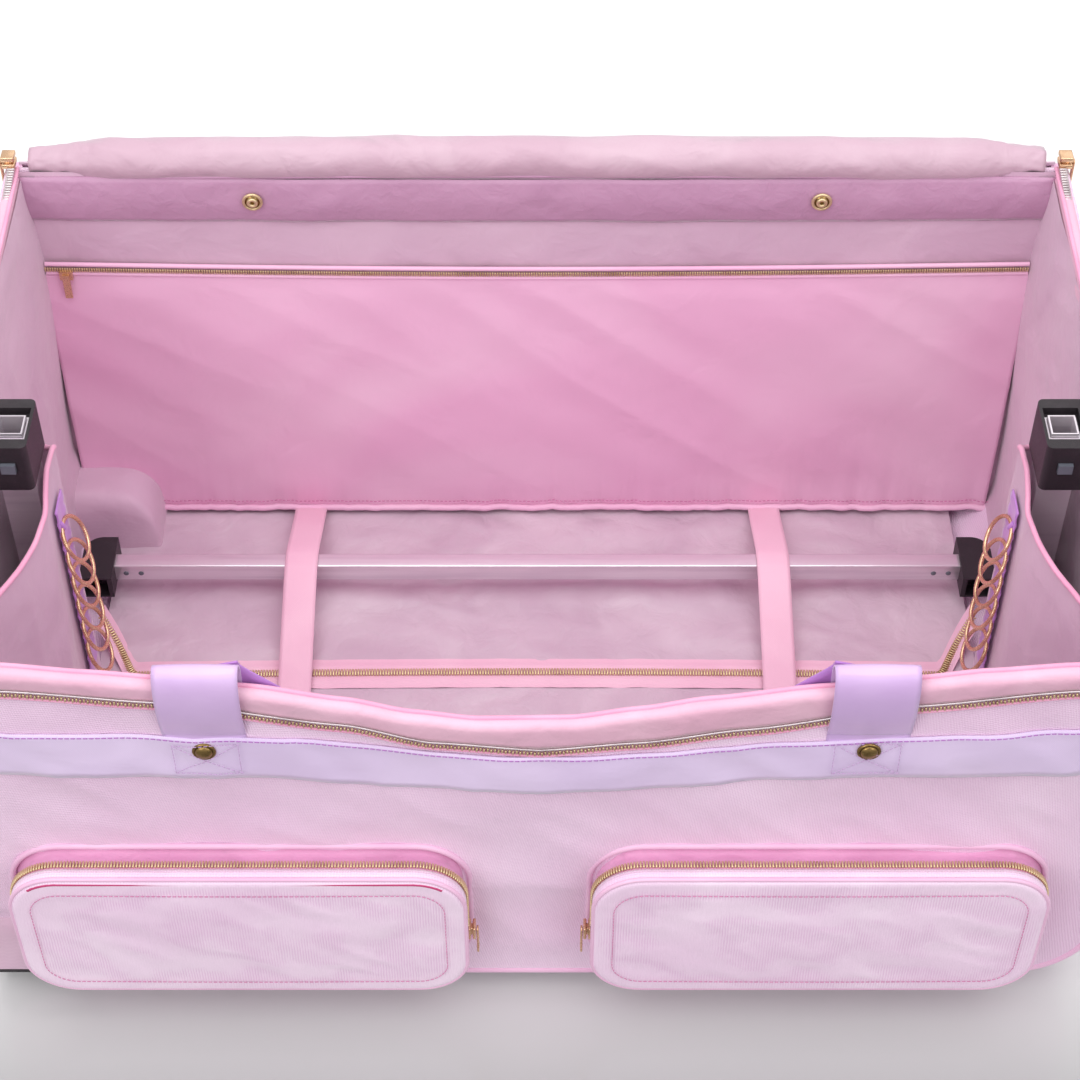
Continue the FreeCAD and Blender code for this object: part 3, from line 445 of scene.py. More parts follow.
oxford = fabric("Pale pink oxford", (246, 219, 240), (212, 160, 200), threads=460, diagonal=0.6,
                weave_bump=0.7, slack_bump=0.4, folds=7, pucker=26, gaps=0.55)
ribbed = fabric("Pale pink ribbed", (248, 224, 243), (216, 164, 206), threads=420, diagonal=0.785,
                weave_bump=0.6, slack_bump=0.35, folds=9, pucker=34, mapped=False, gaps=0.45)
rim_cloth = fabric("Pale rim fold", (232, 186, 206), (210, 142, 174), threads=900, rough=0.5,
                   slack_bump=0.5, folds=20, pucker=60)
satin = fabric("Pink satin", (202, 172, 186), (174, 128, 152), threads=1400, weave_bump=0.05,
               slack_bump=0.9, rough=0.42, sheen=0.5, folds=16, pucker=45, coat=0.08)
band_dark = fabric("Mauve band", (192, 147, 176), (166, 116, 152), threads=1200, weave_bump=0.06,
                   slack_bump=0.6, rough=0.5)
lining = fabric("Mauve lining", (217, 186, 204), (186, 144, 174), threads=1300, weave_bump=0.06,
                slack_bump=0.7, rough=0.5, folds=11, pucker=34)
floor_cloth = fabric("Floor lining", (214, 191, 204), (182, 148, 170), threads=1300,
                     weave_bump=0.06, slack_bump=1.0, rough=0.42, folds=15, pucker=44, spread=0.9)
rose = fabric("Rose pocket cloth", (243, 200, 223), (227, 150, 196), threads=1100, weave_bump=0.1,
              slack_bump=0.5, rough=0.6, folds=5, pucker=26, spread=0.8)
pink_tape = fabric("Salmon binding", (240, 172, 202), (206, 112, 158), threads=900, rough=0.5,
                   slack_bump=0.2, folds=30, pucker=90)
strap_cloth = fabric("Pink strap", (241, 196, 214), (220, 152, 184), threads=800, weave_bump=0.2,
                     slack_bump=0.1, rough=0.45)
lilac = fabric("Lilac band", (230, 210, 240), (196, 168, 216), threads=800, weave_bump=0.15,
               slack_bump=0.5, rough=0.45, folds=9, pucker=26, coat=0.05)
handle_satin = fabric("Lilac webbing", (216, 184, 228), (172, 128, 194), threads=1100,
                      weave_bump=0.12, slack_bump=0.12, rough=0.3, sheen=0.4, coat=0.55)
ring_ribbon = fabric("Violet ribbon", (206, 150, 222), (160, 98, 186), threads=900, rough=0.4,
                     slack_bump=0.2)
stitch = fabric("Violet thread", (184, 116, 196), (140, 78, 156), threads=1600, mapped=False,
                slack_bump=0.0)
pale_stitch = fabric("Lilac thread", (206, 170, 214), (176, 132, 190), threads=1600, mapped=False,
                     slack_bump=0.0)
# Painted shade: the lilac handle webbing again, darker and more violet, for its grip hanging in
# shade inside the front.
shaded_webbing = fabric("Lilac webbing in painted shade", (188, 128, 206), (148, 92, 172), threads=1100, rough=0.4,
                   slack_bump=0.1)
# Painted seam shadow: a dark raspberry colour for the shade in the seam under the left pocket's zip
# flap.
painted_seam_shadow = fabric("Painted seam shadow", (196, 62, 118), (150, 34, 84), threads=1200, mapped=False,
                   slack_bump=0.3)
gusset_cloth = fabric("Gusset cloth", (228, 166, 204), (200, 122, 170), threads=800,
                      weave_bump=0.2, slack_bump=0.9, folds=20, pucker=60)
pink_stitch = fabric("Rose thread", (214, 130, 176), (180, 92, 140), threads=1600, mapped=False,
                     slack_bump=0.0)
piping_cloth = fabric("Pink piping", (238, 196, 222), (206, 140, 184), threads=900, mapped=False,
                      slack_bump=0.1)
gold = hard("Rose gold", (226, 188, 152), (186, 142, 104), rough=0.28, metallic=0.9, bump=0.05)
brass = hard("Brass teeth", (222, 200, 158), (176, 148, 104), rough=0.38, metallic=0.75, bump=0.1)
silver = hard("Silver thread", (216, 206, 208), (170, 158, 160), rough=0.38, metallic=0.7)
antique = hard("Antique brass", (150, 124, 78), (92, 70, 44), rough=0.32, metallic=1.0, bump=0.1,
               scuff=220)
black = hard("Black moulding", (34, 28, 33), (54, 46, 52), rough=0.5, bump=0.5, grain=1400)
slate = hard("Grey insert", (96, 100, 110), (120, 124, 132), rough=0.5, bump=0.2)
aluminium = hard("Brushed aluminium", (232, 224, 230), (206, 196, 206), rough=0.36, metallic=0.75,
                 bump=0.12, grain=1600, scuff=60, stretch=(0.03, 1, 1))
steel = hard("Steel pins", (190, 188, 192), (150, 146, 150), rough=0.3, metallic=1.0)
rubber = hard("Wheel rubber", (38, 36, 40), (70, 66, 70), rough=0.62, bump=0.3)
board = hard("Base board", (70, 66, 72), (92, 88, 94), rough=0.6, bump=0.3)

CAD_FINISH = {
    aluminium: "upright_outer_left upright_outer_right upright_middle_left upright_middle_right"
               " upright_inner_left upright_inner_right crossbar_tube",
    black: "upright_head_left upright_head_right upright_brackets wheel_housings skid_rails"
           " crossbar_elbow_left crossbar_elbow_right strap_buckles",
    slate: "release_button_left release_button_right",
    steel: "wheel_axles crossbar_rivets",
    rubber: "wheel_front wheel_rear",
    board: "base_board",
    gold: "main_zip_pull_left main_zip_pull_right front_pocket_pull_left"
          " front_pocket_pull_right back_pocket_slider zip_sliders",
}
for finish, names in CAD_FINISH.items():
    for label in names.split():
        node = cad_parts[label]
        node.data.materials.clear()
        node.data.materials.append(finish)


# ---- the outline of the bag ---------------------------------------------------------------

RIM = [(-356, 319), (-300, 319), (-252, 313), (-210, 308), (-163, 301), (-109, 289), (-71, 278),
       (-35, 272), (20, 273), (60, 281), (99, 290), (163, 301), (214, 308), (252, 314),
       (300, 319), (356, 319)]
TEETH = [(-356, 303), (-299, 304), (-212, 294), (-110, 274), (-60, 258), (2, 251), (60, 258),
         (120, 270), (215, 291), (302, 304), (356, 303)]
BAND_TOP = [(-356, 270), (-307, 269), (-140, 264), (-60, 250), (-20, 246), (20, 246), (61, 250),
            (170, 262), (310, 272), (356, 272)]
BAND_LOW = [(-356, 232), (-314, 231), (-169, 229), (-60, 218), (2, 214), (61, 218), (171, 229),
            (317, 231), (356, 231)]


def side_top(y):
    """How high the end wall reaches at that depth."""
    return RIM_FRONT + (RIM_BACK - RIM_FRONT) * (y - FRONT) / (BACK - FRONT)


def foot(x):
    """The bottom edge of the front and back, round at the lower corners."""
    over = max(abs(x) - (END - CORNER), 0)
    return BEND - math.sqrt(max(CORNER ** 2 - over * over, 0))


def front_face(x, z):
    """The outer face of the front at a place, with its soft folds."""
    low = smooth(18, 60, z) * (1 - smooth(300, 330, abs(x)))
    low *= 0.1 + 0.9 * smooth(16, 50, eased(RIM, x) - z)
    fold = 2.4 * ripple(x, 0, z, 58, 3.1) + 1.9 * crease(x + 0.9 * z, 0, z * 0.6, 44, 8.2)
    tuck = 3.0 * (1 - smooth(-300, -286, x)) * (1 - smooth(78, 90, z))
    return FRONT - low * (1.2 + fold * 0.85) + tuck


def front_skin(u, v):
    x = -END + 2 * END * u
    low = foot(x)
    z = low + (eased(RIM, x) - 1 - low) * v
    return x, front_face(x, z), z


def back_skin(u, v):
    x = -END + 2 * END * u
    low = foot(x)
    z = low + (349 - low) * v
    fold = 1.6 * ripple(x, 5, z, 70, 1.7) + crease(x - 0.6 * z, 0, z, 60, 5.2)
    tuck = 3.0 * (1 - smooth(-300, -286, x)) * (1 - smooth(78, 90, z))
    return x, BACK + 0.8 * smooth(18, 60, z) * fold * (1 - smooth(300, 340, abs(x))) - tuck, z


def belt_line(run, y):
    """Round the ends and the bottom, from the top of the left end to that of the right."""
    wall = side_top(y) - 1 - BEND
    arc = CORNER * math.pi / 2
    half = END - CORNER
    flat = 2 * half
    s = run * (2 * wall + 2 * arc + flat)
    if s < wall:
        return -END, wall + BEND - s
    if s < wall + arc:
        a = (s - wall) / CORNER
        return -half - CORNER * math.cos(a), BEND - CORNER * math.sin(a)
    if s < wall + arc + flat:
        return -half + s - wall - arc, BASE
    if s < wall + 2 * arc + flat:
        a = (s - wall - arc - flat) / CORNER
        return half + CORNER * math.sin(a), BEND - CORNER * math.cos(a)
    return END, BEND + s - wall - 2 * arc - flat


def belt_skin(u, v):
    y = FRONT + 1 + (BACK - FRONT - 2) * v
    x, z = belt_line(u, y)
    if abs(x) > END - 1:
        fold = 1.5 * ripple(2, y, z, 60, 4.4) + crease(0, y + 0.7 * z, z, 52, 2.2)
        x += math.copysign(0.9 * fold * smooth(0, 60, 205 - abs(y)) * smooth(60, 110, z), x)
    return x, y, z


front = cloth("front_cloth", front_skin, 190, 80, (711, 300), oxford, (0, -1, 0))
placed(add_wall(front, 2.5), nodes=["front_panel"])
back = cloth("back_cloth", back_skin, 120, 60, (711, 332), oxford, (0, 1, 0))
placed(add_wall(back, 2.5), nodes=["back_panel"])
belt = cloth("belt_cloth", belt_skin, 260, 60, (1340, 420), oxford, None)
placed(add_wall(belt, 2.5),
       nodes=["left_end_panel", "right_end_panel", "bottom_panel"])


def seam_line(y, inset):
    """The seam round the ends and the bottom at that depth."""
    top = side_top(y) - 6
    half, bend = END - CORNER, CORNER - inset
    turns = [step / 12 * math.pi / 2 for step in range(13)]
    line = [(-END + inset, y, top - step * (top - BEND) / 12) for step in range(12)]
    line += [(-half - bend * math.cos(a), y, BEND - bend * math.sin(a)) for a in turns]
    line += [(-half + step / 24 * 2 * half, y, BASE + inset) for step in range(1, 24)]
    line += [(half + bend * math.sin(a), y, BEND - bend * math.cos(a)) for a in turns]
    line += [(END - inset, y, BEND + step * (top - BEND) / 12) for step in range(1, 13)]
    return line


placed(rope("front_piping", seam_line(FRONT + 1, 1.5), 2.6, piping_cloth))
placed(rope("back_piping", seam_line(BACK - 1, 1.5), 2.6, piping_cloth))


# ---- the rim: fold, binding and one side of the main zip ----------------------------------

def rim_spots():
    """Places round the rim with the outward direction at each, from back left to back right."""
    start, turn = FRONT + RIM_TURN, END - RIM_TURN
    corner = [step / 8 * math.pi / 2 for step in range(1, 8)]
    depths = [208 - step / 40 * (208 - start) for step in range(41)]
    spots = [(-END, y, side_top(y), (-1, 0)) for y in depths]
    spots += [(-END + RIM_TURN - RIM_TURN * math.cos(a), start - RIM_TURN * math.sin(a),
               RIM_FRONT, (-math.cos(a), -math.sin(a))) for a in corner]
    for step in range(161):
        x = -turn + step / 160 * 2 * turn
        spots.append((x, FRONT, eased(RIM, x), (0, -1)))
    spots += [(turn + RIM_TURN * math.sin(a), start - RIM_TURN * math.cos(a), RIM_FRONT,
               (math.sin(a), -math.cos(a))) for a in corner]
    depths = [start + step / 40 * (208 - start) for step in range(41)]
    return spots + [(END, y, side_top(y), (1, 0)) for y in depths]


SPOTS = rim_spots()


def rim_at(u):
    at = u * (len(SPOTS) - 1)
    low = min(int(at), len(SPOTS) - 2)
    part = at - low
    a, b = SPOTS[low], SPOTS[low + 1]
    spot = [a[i] + (b[i] - a[i]) * part for i in range(3)]
    out = Vector((a[3][0] + (b[3][0] - a[3][0]) * part, a[3][1] + (b[3][1] - a[3][1]) * part, 0))
    return spot, out.normalized()


def teeth_drop(x, out):
    """How far under the rim the teeth run there."""
    if abs(out.y) < 0.9:
        return 16.0
    return eased(RIM, x) - eased(TEETH, x)


def rim_fold(u, v):
    (x, y, z), out = rim_at(u)
    drop = teeth_drop(x, out) - 2
    wave = 0.5 * ripple(x, y, z, 26, 2.4)
    section = [(1.6, -drop), (2.1 + wave, -drop * 0.66), (2.4 + wave, -drop * 0.33), (2.0, -2.0),
               (0.4, 0.2), (-2.6, 0.9), (-5.6, 0.0), (-7.2, -3.0), (-7.4, -8.0), (-7.2, -13.0)]
    at = v * (len(section) - 1)
    low = min(int(at), len(section) - 2)
    part = at - low
    away = section[low][0] + (section[low + 1][0] - section[low][0]) * part
    rise = section[low][1] + (section[low + 1][1] - section[low][1]) * part
    return x + out.x * away, y + out.y * away, z + rise


def rim_line(away, rise, follow_teeth=False):
    line = []
    for step in range(481):
        (x, y, z), out = rim_at(step / 480)
        drop = teeth_drop(x, out) if follow_teeth else 0
        line.append((x + out.x * away, y + out.y * away, z + rise - drop))
    return line


fold = cloth("rim_fold", rim_fold, 480, 18, (1540, 42), rim_cloth, (0, 0, 1))
placed(add_wall(fold, 0.9), nodes=["rim_tape"])
placed(rope("rim_binding", rim_line(-5.8, 0.4), 1.5, pink_tape))
placed(rope("rim_thread", rim_line(2.7, 2.4, True), 0.55, silver))


def rim_outward(place):
    if abs(place.x) < END - 13:
        return Vector((0, -1, 0))
    if place.y > FRONT + RIM_TURN:
        return Vector((math.copysign(1, place.x), 0, 0))
    return Vector((math.copysign(1, place.x), -1, 0)).normalized()


row = teeth("rim_teeth", rim_line(2.4, -1.2, True), 2.1, (1.2, 2.9, 1.6), brass, rim_outward, 0.3)
placed(row, nodes=["rim_zip"])
placed(rope("rim_zip_edge", rim_line(1.7, -4.0, True), 1.0, pink_tape))

for label, side in SIDES:
    chain = [(side * (END - 3.5 + 2.0 * i / 20), 204 - 52 * i / 20, 355.5 - 17.0 * i / 20)
             for i in range(21)]
    placed(teeth(f"closed_chain_{label}", chain, 2.0, (1.4, 5.0, 2.6), silver, (0, 0.3, 1)))
    stop = chain[-1]
    placed(block(f"chain_stop_{label}", (stop[0] - 3, stop[1] - 3, stop[2] - 1.6),
                 (stop[0] + 3, stop[1] + 1, stop[2] + 1.8), 0.7, silver))


# ---- bands and handles --------------------------------------------------------------------

def front_band(u, v):
    x = -END + 1 + 2 * (END - 1) * u
    z = eased(BAND_LOW, x) + (eased(BAND_TOP, x) - eased(BAND_LOW, x)) * v
    puff = 0.5 * ripple(x, 1, z, 30, 6.1)
    return x, front_face(x, z) - 1.7 - puff * 4 * v * (1 - v), z


def back_band(u, v):
    x = -END + 1 + 2 * (END - 1) * u
    z = 232 + 37 * v
    return x, back_skin((x + END) / (2 * END), (z - foot(x)) / (349 - foot(x)))[1] + 1.8, z


def end_band(side):
    def shape(u, v):
        y = FRONT + 2 + (BACK - FRONT - 4) * u
        return side * (END + 2.6), y, 232 + 37 * v
    return shape


bands = [cloth("webbing_front", front_band, 190, 8, (709, 38), lilac, (0, -1, 0)),
         cloth("webbing_back", back_band, 120, 6, (709, 38), lilac, (0, 1, 0))]
for label, side in SIDES:
    bands.append(cloth(f"webbing_{label}", end_band(side), 40, 6, (416, 38), lilac, (side, 0, 0)))
for piece in bands:
    add_wall(piece, 1.2)
placed(bands[0], nodes=["webbing_bands"])
for piece in bands[1:]:
    placed(piece)


def dashes(name, line, length, gap, radius, material):
    """Short stitches laid along the line."""
    bm = bmesh.new()
    for start, way in spaced(line, length + gap):
        stop = start + way * length
        middle = (start + stop) / 2
        turned = (stop - start).to_track_quat("Z", "Y").to_matrix().to_4x4()
        bmesh.ops.create_cone(bm, cap_ends=True, segments=6, radius1=radius * MM,
                              radius2=radius * MM, depth=length * MM,
                              matrix=Matrix.Translation(middle * MM) @ turned)
    placed(finish_mesh(bm, name, material), "bag")


def on_front(points, lift):
    return [(x, front_face(x, z) - lift, z) for x, z in points]


steps = [-350 + 5 * i for i in range(141)]
dashes("band_stitch_top", on_front([(x, eased(BAND_TOP, x) - 2) for x in steps], 2.3), 2.6, 0.9,
       0.32, stitch)
ARCH = [(-211.6, 256), (-211.8, 264), (-213.2, 272), (-216.2, 284), (-217.4, 297),
        (-216.8, 309), (-213.8, 318), (-208.6, 322), (-203.6, 319.5), (-200.6, 313),
        (-199.8, 306), (-199.7, 298)]


def line_at(points, t):
    at = t * (len(points) - 1)
    low = min(int(at), len(points) - 2)
    part = at - low
    return tuple(a + (b - a) * part for a, b in zip(points[low], points[low + 1]))


def rounded(points, times=2):
    """The line with its corners cut, ends kept."""
    for _ in range(times):
        trimmed = [points[0]]
        for a, b in zip(points, points[1:]):
            for share in (0.75, 0.25):
                trimmed.append(tuple(share * p + (1 - share) * q for p, q in zip(a, b)))
        points = trimmed + [points[-1]]
    return points


ARCH_LINE = rounded(ARCH)


def front_leg(side):
    def shape(u, v):
        y, z = line_at(ARCH_LINE, v)
        x = side * HANDLE_X + (u - 0.5) * 48
        if z < 268 and v < 0.5:
            y = front_face(x, z) - 0.5
        bow = 0.8 * math.cos((u - 0.5) * math.pi)
        return x, y + (bow if v > 0.6 else -bow), z
    return shape


legs = []
for label, side in SIDES:
    leg = cloth(f"front_handle_{label}", front_leg(side), 14, 90, (48, 200), handle_satin)
    legs.append(baked(add_wall(leg, 1.3)))

GRIP = rounded([(-190, 312), (-187, 300), (-160, 276), (-128, 246), (-96, 224), (-50, 219),
                (50, 219), (96, 224), (128, 246), (160, 276), (187, 300), (190, 312)], 2)


def beside(line, u, wide):
    """A place on the line, moved sideways by wide in the plane of the front."""
    x, z = line_at(line, u)
    a = line_at(line, min(u + 0.01, 1))
    b = line_at(line, max(u - 0.01, 0))
    way = Vector((a[0] - b[0], a[1] - b[1])).normalized()
    return x - way.y * wide, z + way.x * wide


def front_loop(u, v):
    """The grip between the two legs, hanging inside the front."""
    x, z = beside(GRIP, u, (v - 0.5) * 47)
    y = -199.4 + 0.6 * math.sin(u * math.pi * 3) - 0.4 * math.cos((v - 0.5) * math.pi)
    return x, y, z


# The grip takes the darker copy of the handle webbing. This is painted shade where it hangs inside
# the front.
grip = cloth("front_handle_grip", front_loop, 130, 10, (470, 47), shaded_webbing, (0, 1, 0))
legs.append(baked(add_wall(grip, 1.3)))
handle = join("front_handle", legs)
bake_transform(handle)
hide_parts("front_handle_loop", "handle_legs")


def back_leg(side):
    def shape(u, v):
        x = side * HANDLE_X + (u - 0.5) * 48
        return x, 213.2 + 0.5 * math.cos((u - 0.5) * math.pi), 236 + 34 * v
    return shape


def rear_loop(u, v):
    """The rear grip, hanging down the back."""
    x, z = beside(REAR, u, (v - 0.5) * 46)
    return x, 214.8, z


REAR = rounded([(-190, 268), (-190, 230), (-188, 196), (-160, 177), (0, 177), (160, 177),
                (188, 196), (190, 230), (190, 268)], 3)
for label, side in SIDES:
    tab = cloth(f"rear_tab_{label}", back_leg(side), 8, 12, (48, 34), handle_satin, (0, 1, 0))
    placed(add_wall(tab, 1.2))
rear = cloth("rear_grip", rear_loop, 120, 8, (560, 46), handle_satin, (0, 1, 0))
placed(add_wall(rear, 1.3), "rear_handle", ["rear_handle_loop"])


def crossed_box(name, x, low, high, lift):
    """The boxed cross sewn where webbing meets the bag."""
    points = []
    corners = [(x - 19, low), (x + 19, low), (x + 19, high), (x - 19, high), (x - 19, low),
               (x + 19, high), (x + 19, low), (x - 19, high)]
    for (x0, z0), (x1, z1) in zip(corners, corners[1:]):
        points += [(x0 + (x1 - x0) * i / 12, z0 + (z1 - z0) * i / 12) for i in range(12)]
    dashes(name, on_front(points, lift), 2.2, 0.9, 0.24, pale_stitch)


for label, side in SIDES:
    crossed_box(f"leg_stitch_{label}", side * HANDLE_X, 236, 261, 3.4)

studs = []
for side in (-1, 1):
    studs.append(bead(f"stud_{side}", (side * 191, FRONT - 5.4, 255), (5.2, 2.4, 5.2), 32,
                      antique))
    studs.append(rope(f"stud_rim_{side}", circle(side * 191, FRONT - 4.8, 255, 6.0, 24), 1.0,
                      antique, closed=True))
placed(join("handle_studs", studs), nodes=["handle_rivets"])


# ---- front pockets ------------------------------------------------------------------------

def pocket_outline(t, left, right, low, high, r):
    """A rounded rectangle, from the middle of the bottom, anticlockwise seen from the front."""
    wide, tall, arc = right - left - 2 * r, high - low - 2 * r, math.pi * r / 2
    s = t * (2 * wide + 2 * tall + 4 * arc) - wide / 2
    if s < 0:
        return right - r + s, low
    corners = ((right - r, low + r, tall), (right - r, high - r, wide), (left + r, high - r, tall),
               (left + r, low + r, wide / 2))
    for quarter, (x, z, run) in enumerate(corners):
        if s <= arc + run + 1e-9:
            break
        s -= arc + run
    a = (quarter - 1) * math.pi / 2 + min(s, arc) / r
    beyond = max(s - arc, 0)
    return x + r * math.cos(a) - beyond * math.sin(a), z + r * math.sin(a) + beyond * math.cos(a)


def pocket(tag, left, right, seed):
    """One front pocket between two places, with its piping and stitches. Its teeth are returned."""
    low, high, r = 38, 158, 32
    middle, level = (left + right) / 2, (low + high) / 2

    def ring(t, inset, y):
        x, z = pocket_outline(t, left + inset, right - inset, low + inset, high - inset,
                              max(r - inset, 0.01))
        return x, y, z

    def crown(x, z):
        """How far the face swells out there."""
        return 2.6 * math.exp(-((x - middle) / 110) ** 2 - ((z - level) / 46) ** 2)

    def face(u, v):
        """The front of the pocket, from its middle to its edge and over onto the side."""
        if v < 0.86:
            inset = 57.5 * (1 - v / 0.86) + 2.5
            x, _, z = ring(u, inset, 0)
            fold = 1.3 * ripple(x, 0, z, 40, seed) + 1.1 * crease(x + z, 0, z, 34, seed + 2)
            return x, -237.2 - crown(x, z) - 0.6 * fold * smooth(0, 0.3, 0.86 - v), z
        a = (v - 0.86) / 0.14
        x, _, z = ring(u, 2.5 * (1 - math.sin(min(a * 2, 1) * math.pi / 2)), 0)
        return x, -237.2 + 2.5 * smooth(0, 0.5, a) + 6.5 * max(a - 0.5, 0) * 2, z

    def side(u, v):
        """The gusset between the front edge and the bag, a little sunk in the middle."""
        sag = 1.6 * math.sin(v * math.pi) + 2.6 * smooth(0.3, 0.8, v) * (1 - smooth(0.8, 1, v))
        sag += 0.9 * ripple(u * 40, v * 3, 1, 2.0, seed) * smooth(0.1, 0.4, v)
        return ring(u, sag, -229.5 + 19 * v)

    skin = cloth(f"front_pocket_{tag}_face", face, 150, 26, (700, 80), ribbed, joined=True)
    gusset = cloth(f"front_pocket_{tag}_gusset", side, 150, 12, (700, 24), gusset_cloth)
    bm = bmesh.new()
    bm.from_mesh(gusset.data)
    bmesh.ops.remove_doubles(bm, verts=bm.verts, dist=1e-6)
    bmesh.ops.recalc_face_normals(bm, faces=bm.faces)
    bm.to_mesh(gusset.data)
    bm.free()
    whole = join(f"front_pocket_{tag}_cloth", [skin, gusset])
    placed(whole, nodes=[f"front_pocket_{tag}"])
    for edge, inset, y, thick in (("front", 0.6, -235.4, 1.5), ("back", -1.5, -212.4, 1.9)):
        placed(rope(f"pocket_{tag}_{edge}_piping", [ring(i / 200, inset, y) for i in range(200)],
                    thick, piping_cloth, closed=True))
    # On the left pocket a dark cord runs under the top of the zip. It is painted seam shadow, where
    # shade falls between the zip flap and the pocket face.
    if tag == "left":
        seam_shadow_line = [(x, -236.6, z - 0.6) for x, _, z in (ring(i / 200, 3.2, 0) for i in range(200))
                if z > high - 16 and abs(x - middle) < (right - left) / 2 - 12]
        seam_shadow_line.sort()
        placed(rope("pocket_left_seam_shadow", seam_shadow_line, 1.15, painted_seam_shadow))
    inner = [ring(i / 220, 13, 0) for i in range(221)]
    line = [(x, -238.4 - crown(x, z), z) for x, _, z in inner]
    dashes(f"pocket_{tag}_stitch", line, 2.2, 1.0, 0.3, pink_stitch)
    zip_line = []
    for step in range(221):
        x, _, z = ring(step / 220, -0.3, 0)
        if z > 94:
            zip_line.append((x, -225, z))
    zip_line.sort(key=lambda p: (math.atan2(p[2] - level, p[0] - middle)))

    def outward(place):
        away = Vector((place.x - middle, 0, place.z - level))
        if abs(place.x - middle) < (right - left) / 2 - r:
            return Vector((0, 0, 1))
        corner = Vector((math.copysign((right - left) / 2 - r, away.x), 0, (high - low) / 2 - r))
        if place.z < high - r:
            return Vector((math.copysign(1, away.x), 0, 0))
        return (away - corner).normalized()

    return teeth(f"pocket_{tag}_teeth", zip_line, 1.9, (1.15, 4.6, 1.8), brass, outward)


zips = [pocket("left", -321, -43, 0.7), pocket("right", 34, 312, 4.2)]
placed(join("pocket_teeth", zips), nodes=["front_pocket_zips"])


# ---- inside: back wall, ends and floor ----------------------------------------------------

def back_lining(u, v):
    x = -350 + 700 * u
    z = 29 + 321 * v
    well = (1 - smooth(-300, -288, x)) * (1 - smooth(80, 96, z))
    fold = 1.3 * ripple(x, 0, z, 54, 2.9) + 3.0 * well
    return x, 203.2 - fold * smooth(0, 30, 350 - abs(x)), z


def dark_band(u, v):
    x = -349 + 698 * u
    z = 311 + 36 * v
    sag = 3.0 * math.sin(v * math.pi) + 1.0 * ripple(x, 0, z, 48, 7.9)
    return x, 201.2 - sag, z - 2.0 * (1 - (x / 350) ** 2)


def rose_panel(u, v):
    x = -345 + 690 * u
    z = 34 + 231 * v
    gather = 1.8 * ripple(x, 0, 0, 13, 4.6) + 1.2 * ripple(x, 0, 0, 6, 1.1)
    gather *= math.exp(-(z - 34) / 26)
    soft = 2.6 * ripple(x - 0.9 * z, 0, z * 0.5, 88, 9.3)
    soft += 1.6 * crease(x + 1.4 * z, 0, 0.3 * z, 70, 4)
    hang = 2.0 * math.sin(v * math.pi)
    return x, 198.5 - hang - gather - 0.7 * soft * smooth(0, 0.12, v) * smooth(0, 0.1, 1 - v), z


walls = [cloth("lining_back", back_lining, 140, 70, (700, 321), lining, (0, -1, 0))]


def end_lining(side):
    def shape(u, v):
        y = -204 + 408 * u
        top = side_top(y) - 3
        z = 29 + (top - 29) * v
        fold = 1.4 * ripple(1, y, z, 50, 6.6 + side) + 1.0 * crease(0, y + z, z, 46, side)
        lean = 7 * smooth(60, 200, y) * math.exp(-((z - 250) / 90) ** 2)
        if side < 0:
            lean += 3 * smooth(150, 164, abs(y)) * (1 - smooth(80, 100, z))
        turn = math.sqrt(max(1 - min(max(60 - z, 0) / 48, 1) ** 2, 0))
        inner = 312 + 37.5 * turn
        return side * (inner - fold * smooth(10, 60, 204 - abs(y)) - lean), y, z
    return shape


for label, side in SIDES:
    walls.append(cloth(f"lining_{label}", end_lining(side), 90, 64, (408, 300), lining,
                       (-side, 0, 0)))


def front_lining(u, v):
    x = -350 + 700 * u
    z = 29 + (eased(RIM, x) - 6 - 29) * v
    return x, -203.2 + 0.8 * ripple(x, 3, z, 50, 5), z


walls.append(cloth("lining_front", front_lining, 120, 40, (700, 290), lining, (0, 1, 0)))
placed(walls[0], nodes=["wall_lining"])
for piece in walls[1:]:
    placed(piece)
band = cloth("back_wall_band", dark_band, 160, 10, (698, 36), band_dark, (0, -1, 0))
placed(add_wall(band, 0.8))


def floor_shape(u, v):
    x = -318 + 636 * u
    y = -204 + 408 * v
    fold = 2.0 * ripple(x, y * 1.5, 0, 56, 3.4) + 1.7 * crease(x * 0.5, y * 1.2, 0, 38, 7.5)
    edge = smooth(0, 20, 318 - abs(x)) * smooth(0, 16, 204 - abs(y))
    edge *= 1 - 0.92 * math.exp(-((y - 32) / 20) ** 2)
    patchy = smooth(-0.2, 0.3, ripple(x, y, 0, 90, 1))
    fine = 1.1 * crease(x * 0.8 + y * 0.5, y, 0, 20, 2.6) * patchy
    return x, y, 28.6 + (max(fold, -1.0) + fine) * edge


floor_piece = cloth("floor_cloth", floor_shape, 200, 130, (636, 408), floor_cloth, (0, 0, 1))
placed(floor_piece, nodes=["floor_lining"])

for label, way in (("front", -1), ("rear", 1)):
    def well(u, v, way=way):
        b = 2 * v - 1
        tall = (1 - u ** 5) ** 0.4 * (1 - abs(b) ** 6) ** 0.4
        return -349 + 63 * u, way * 187 + 28 * b, 28 + 50 * tall + 0.6 * ripple(u, b, way, 0.7)
    cover = cloth(f"wheel_well_{label}", well, 30, 24, (110, 90), lining, (0, 0, 1))
    placed(cover)

rose_piece = cloth("rose_pocket", rose_panel, 260, 90, (690, 231), rose, (0, -1, 0))
placed(add_wall(rose_piece, 1.0), nodes=["back_pocket_panel"])


def hem_line(lift, out):
    line = []
    for i in range(0, 691, 3):
        x = -345 + i
        wave = 1.3 * ripple(x, 0, 0, 13, 4.6) + 0.9 * ripple(x, 0, 0, 6, 1.1)
        line.append((x, 197 - out - wave, 35 + lift + 0.8 * ripple(x, 0, 0, 17, 2)))
    return line


placed(rope("rose_pocket_hem", hem_line(0, 0.6), 2.4, rose))
dashes("rose_pocket_hem_stitch", hem_line(6.5, 0.2), 2.0, 1.2, 0.35, pink_stitch)

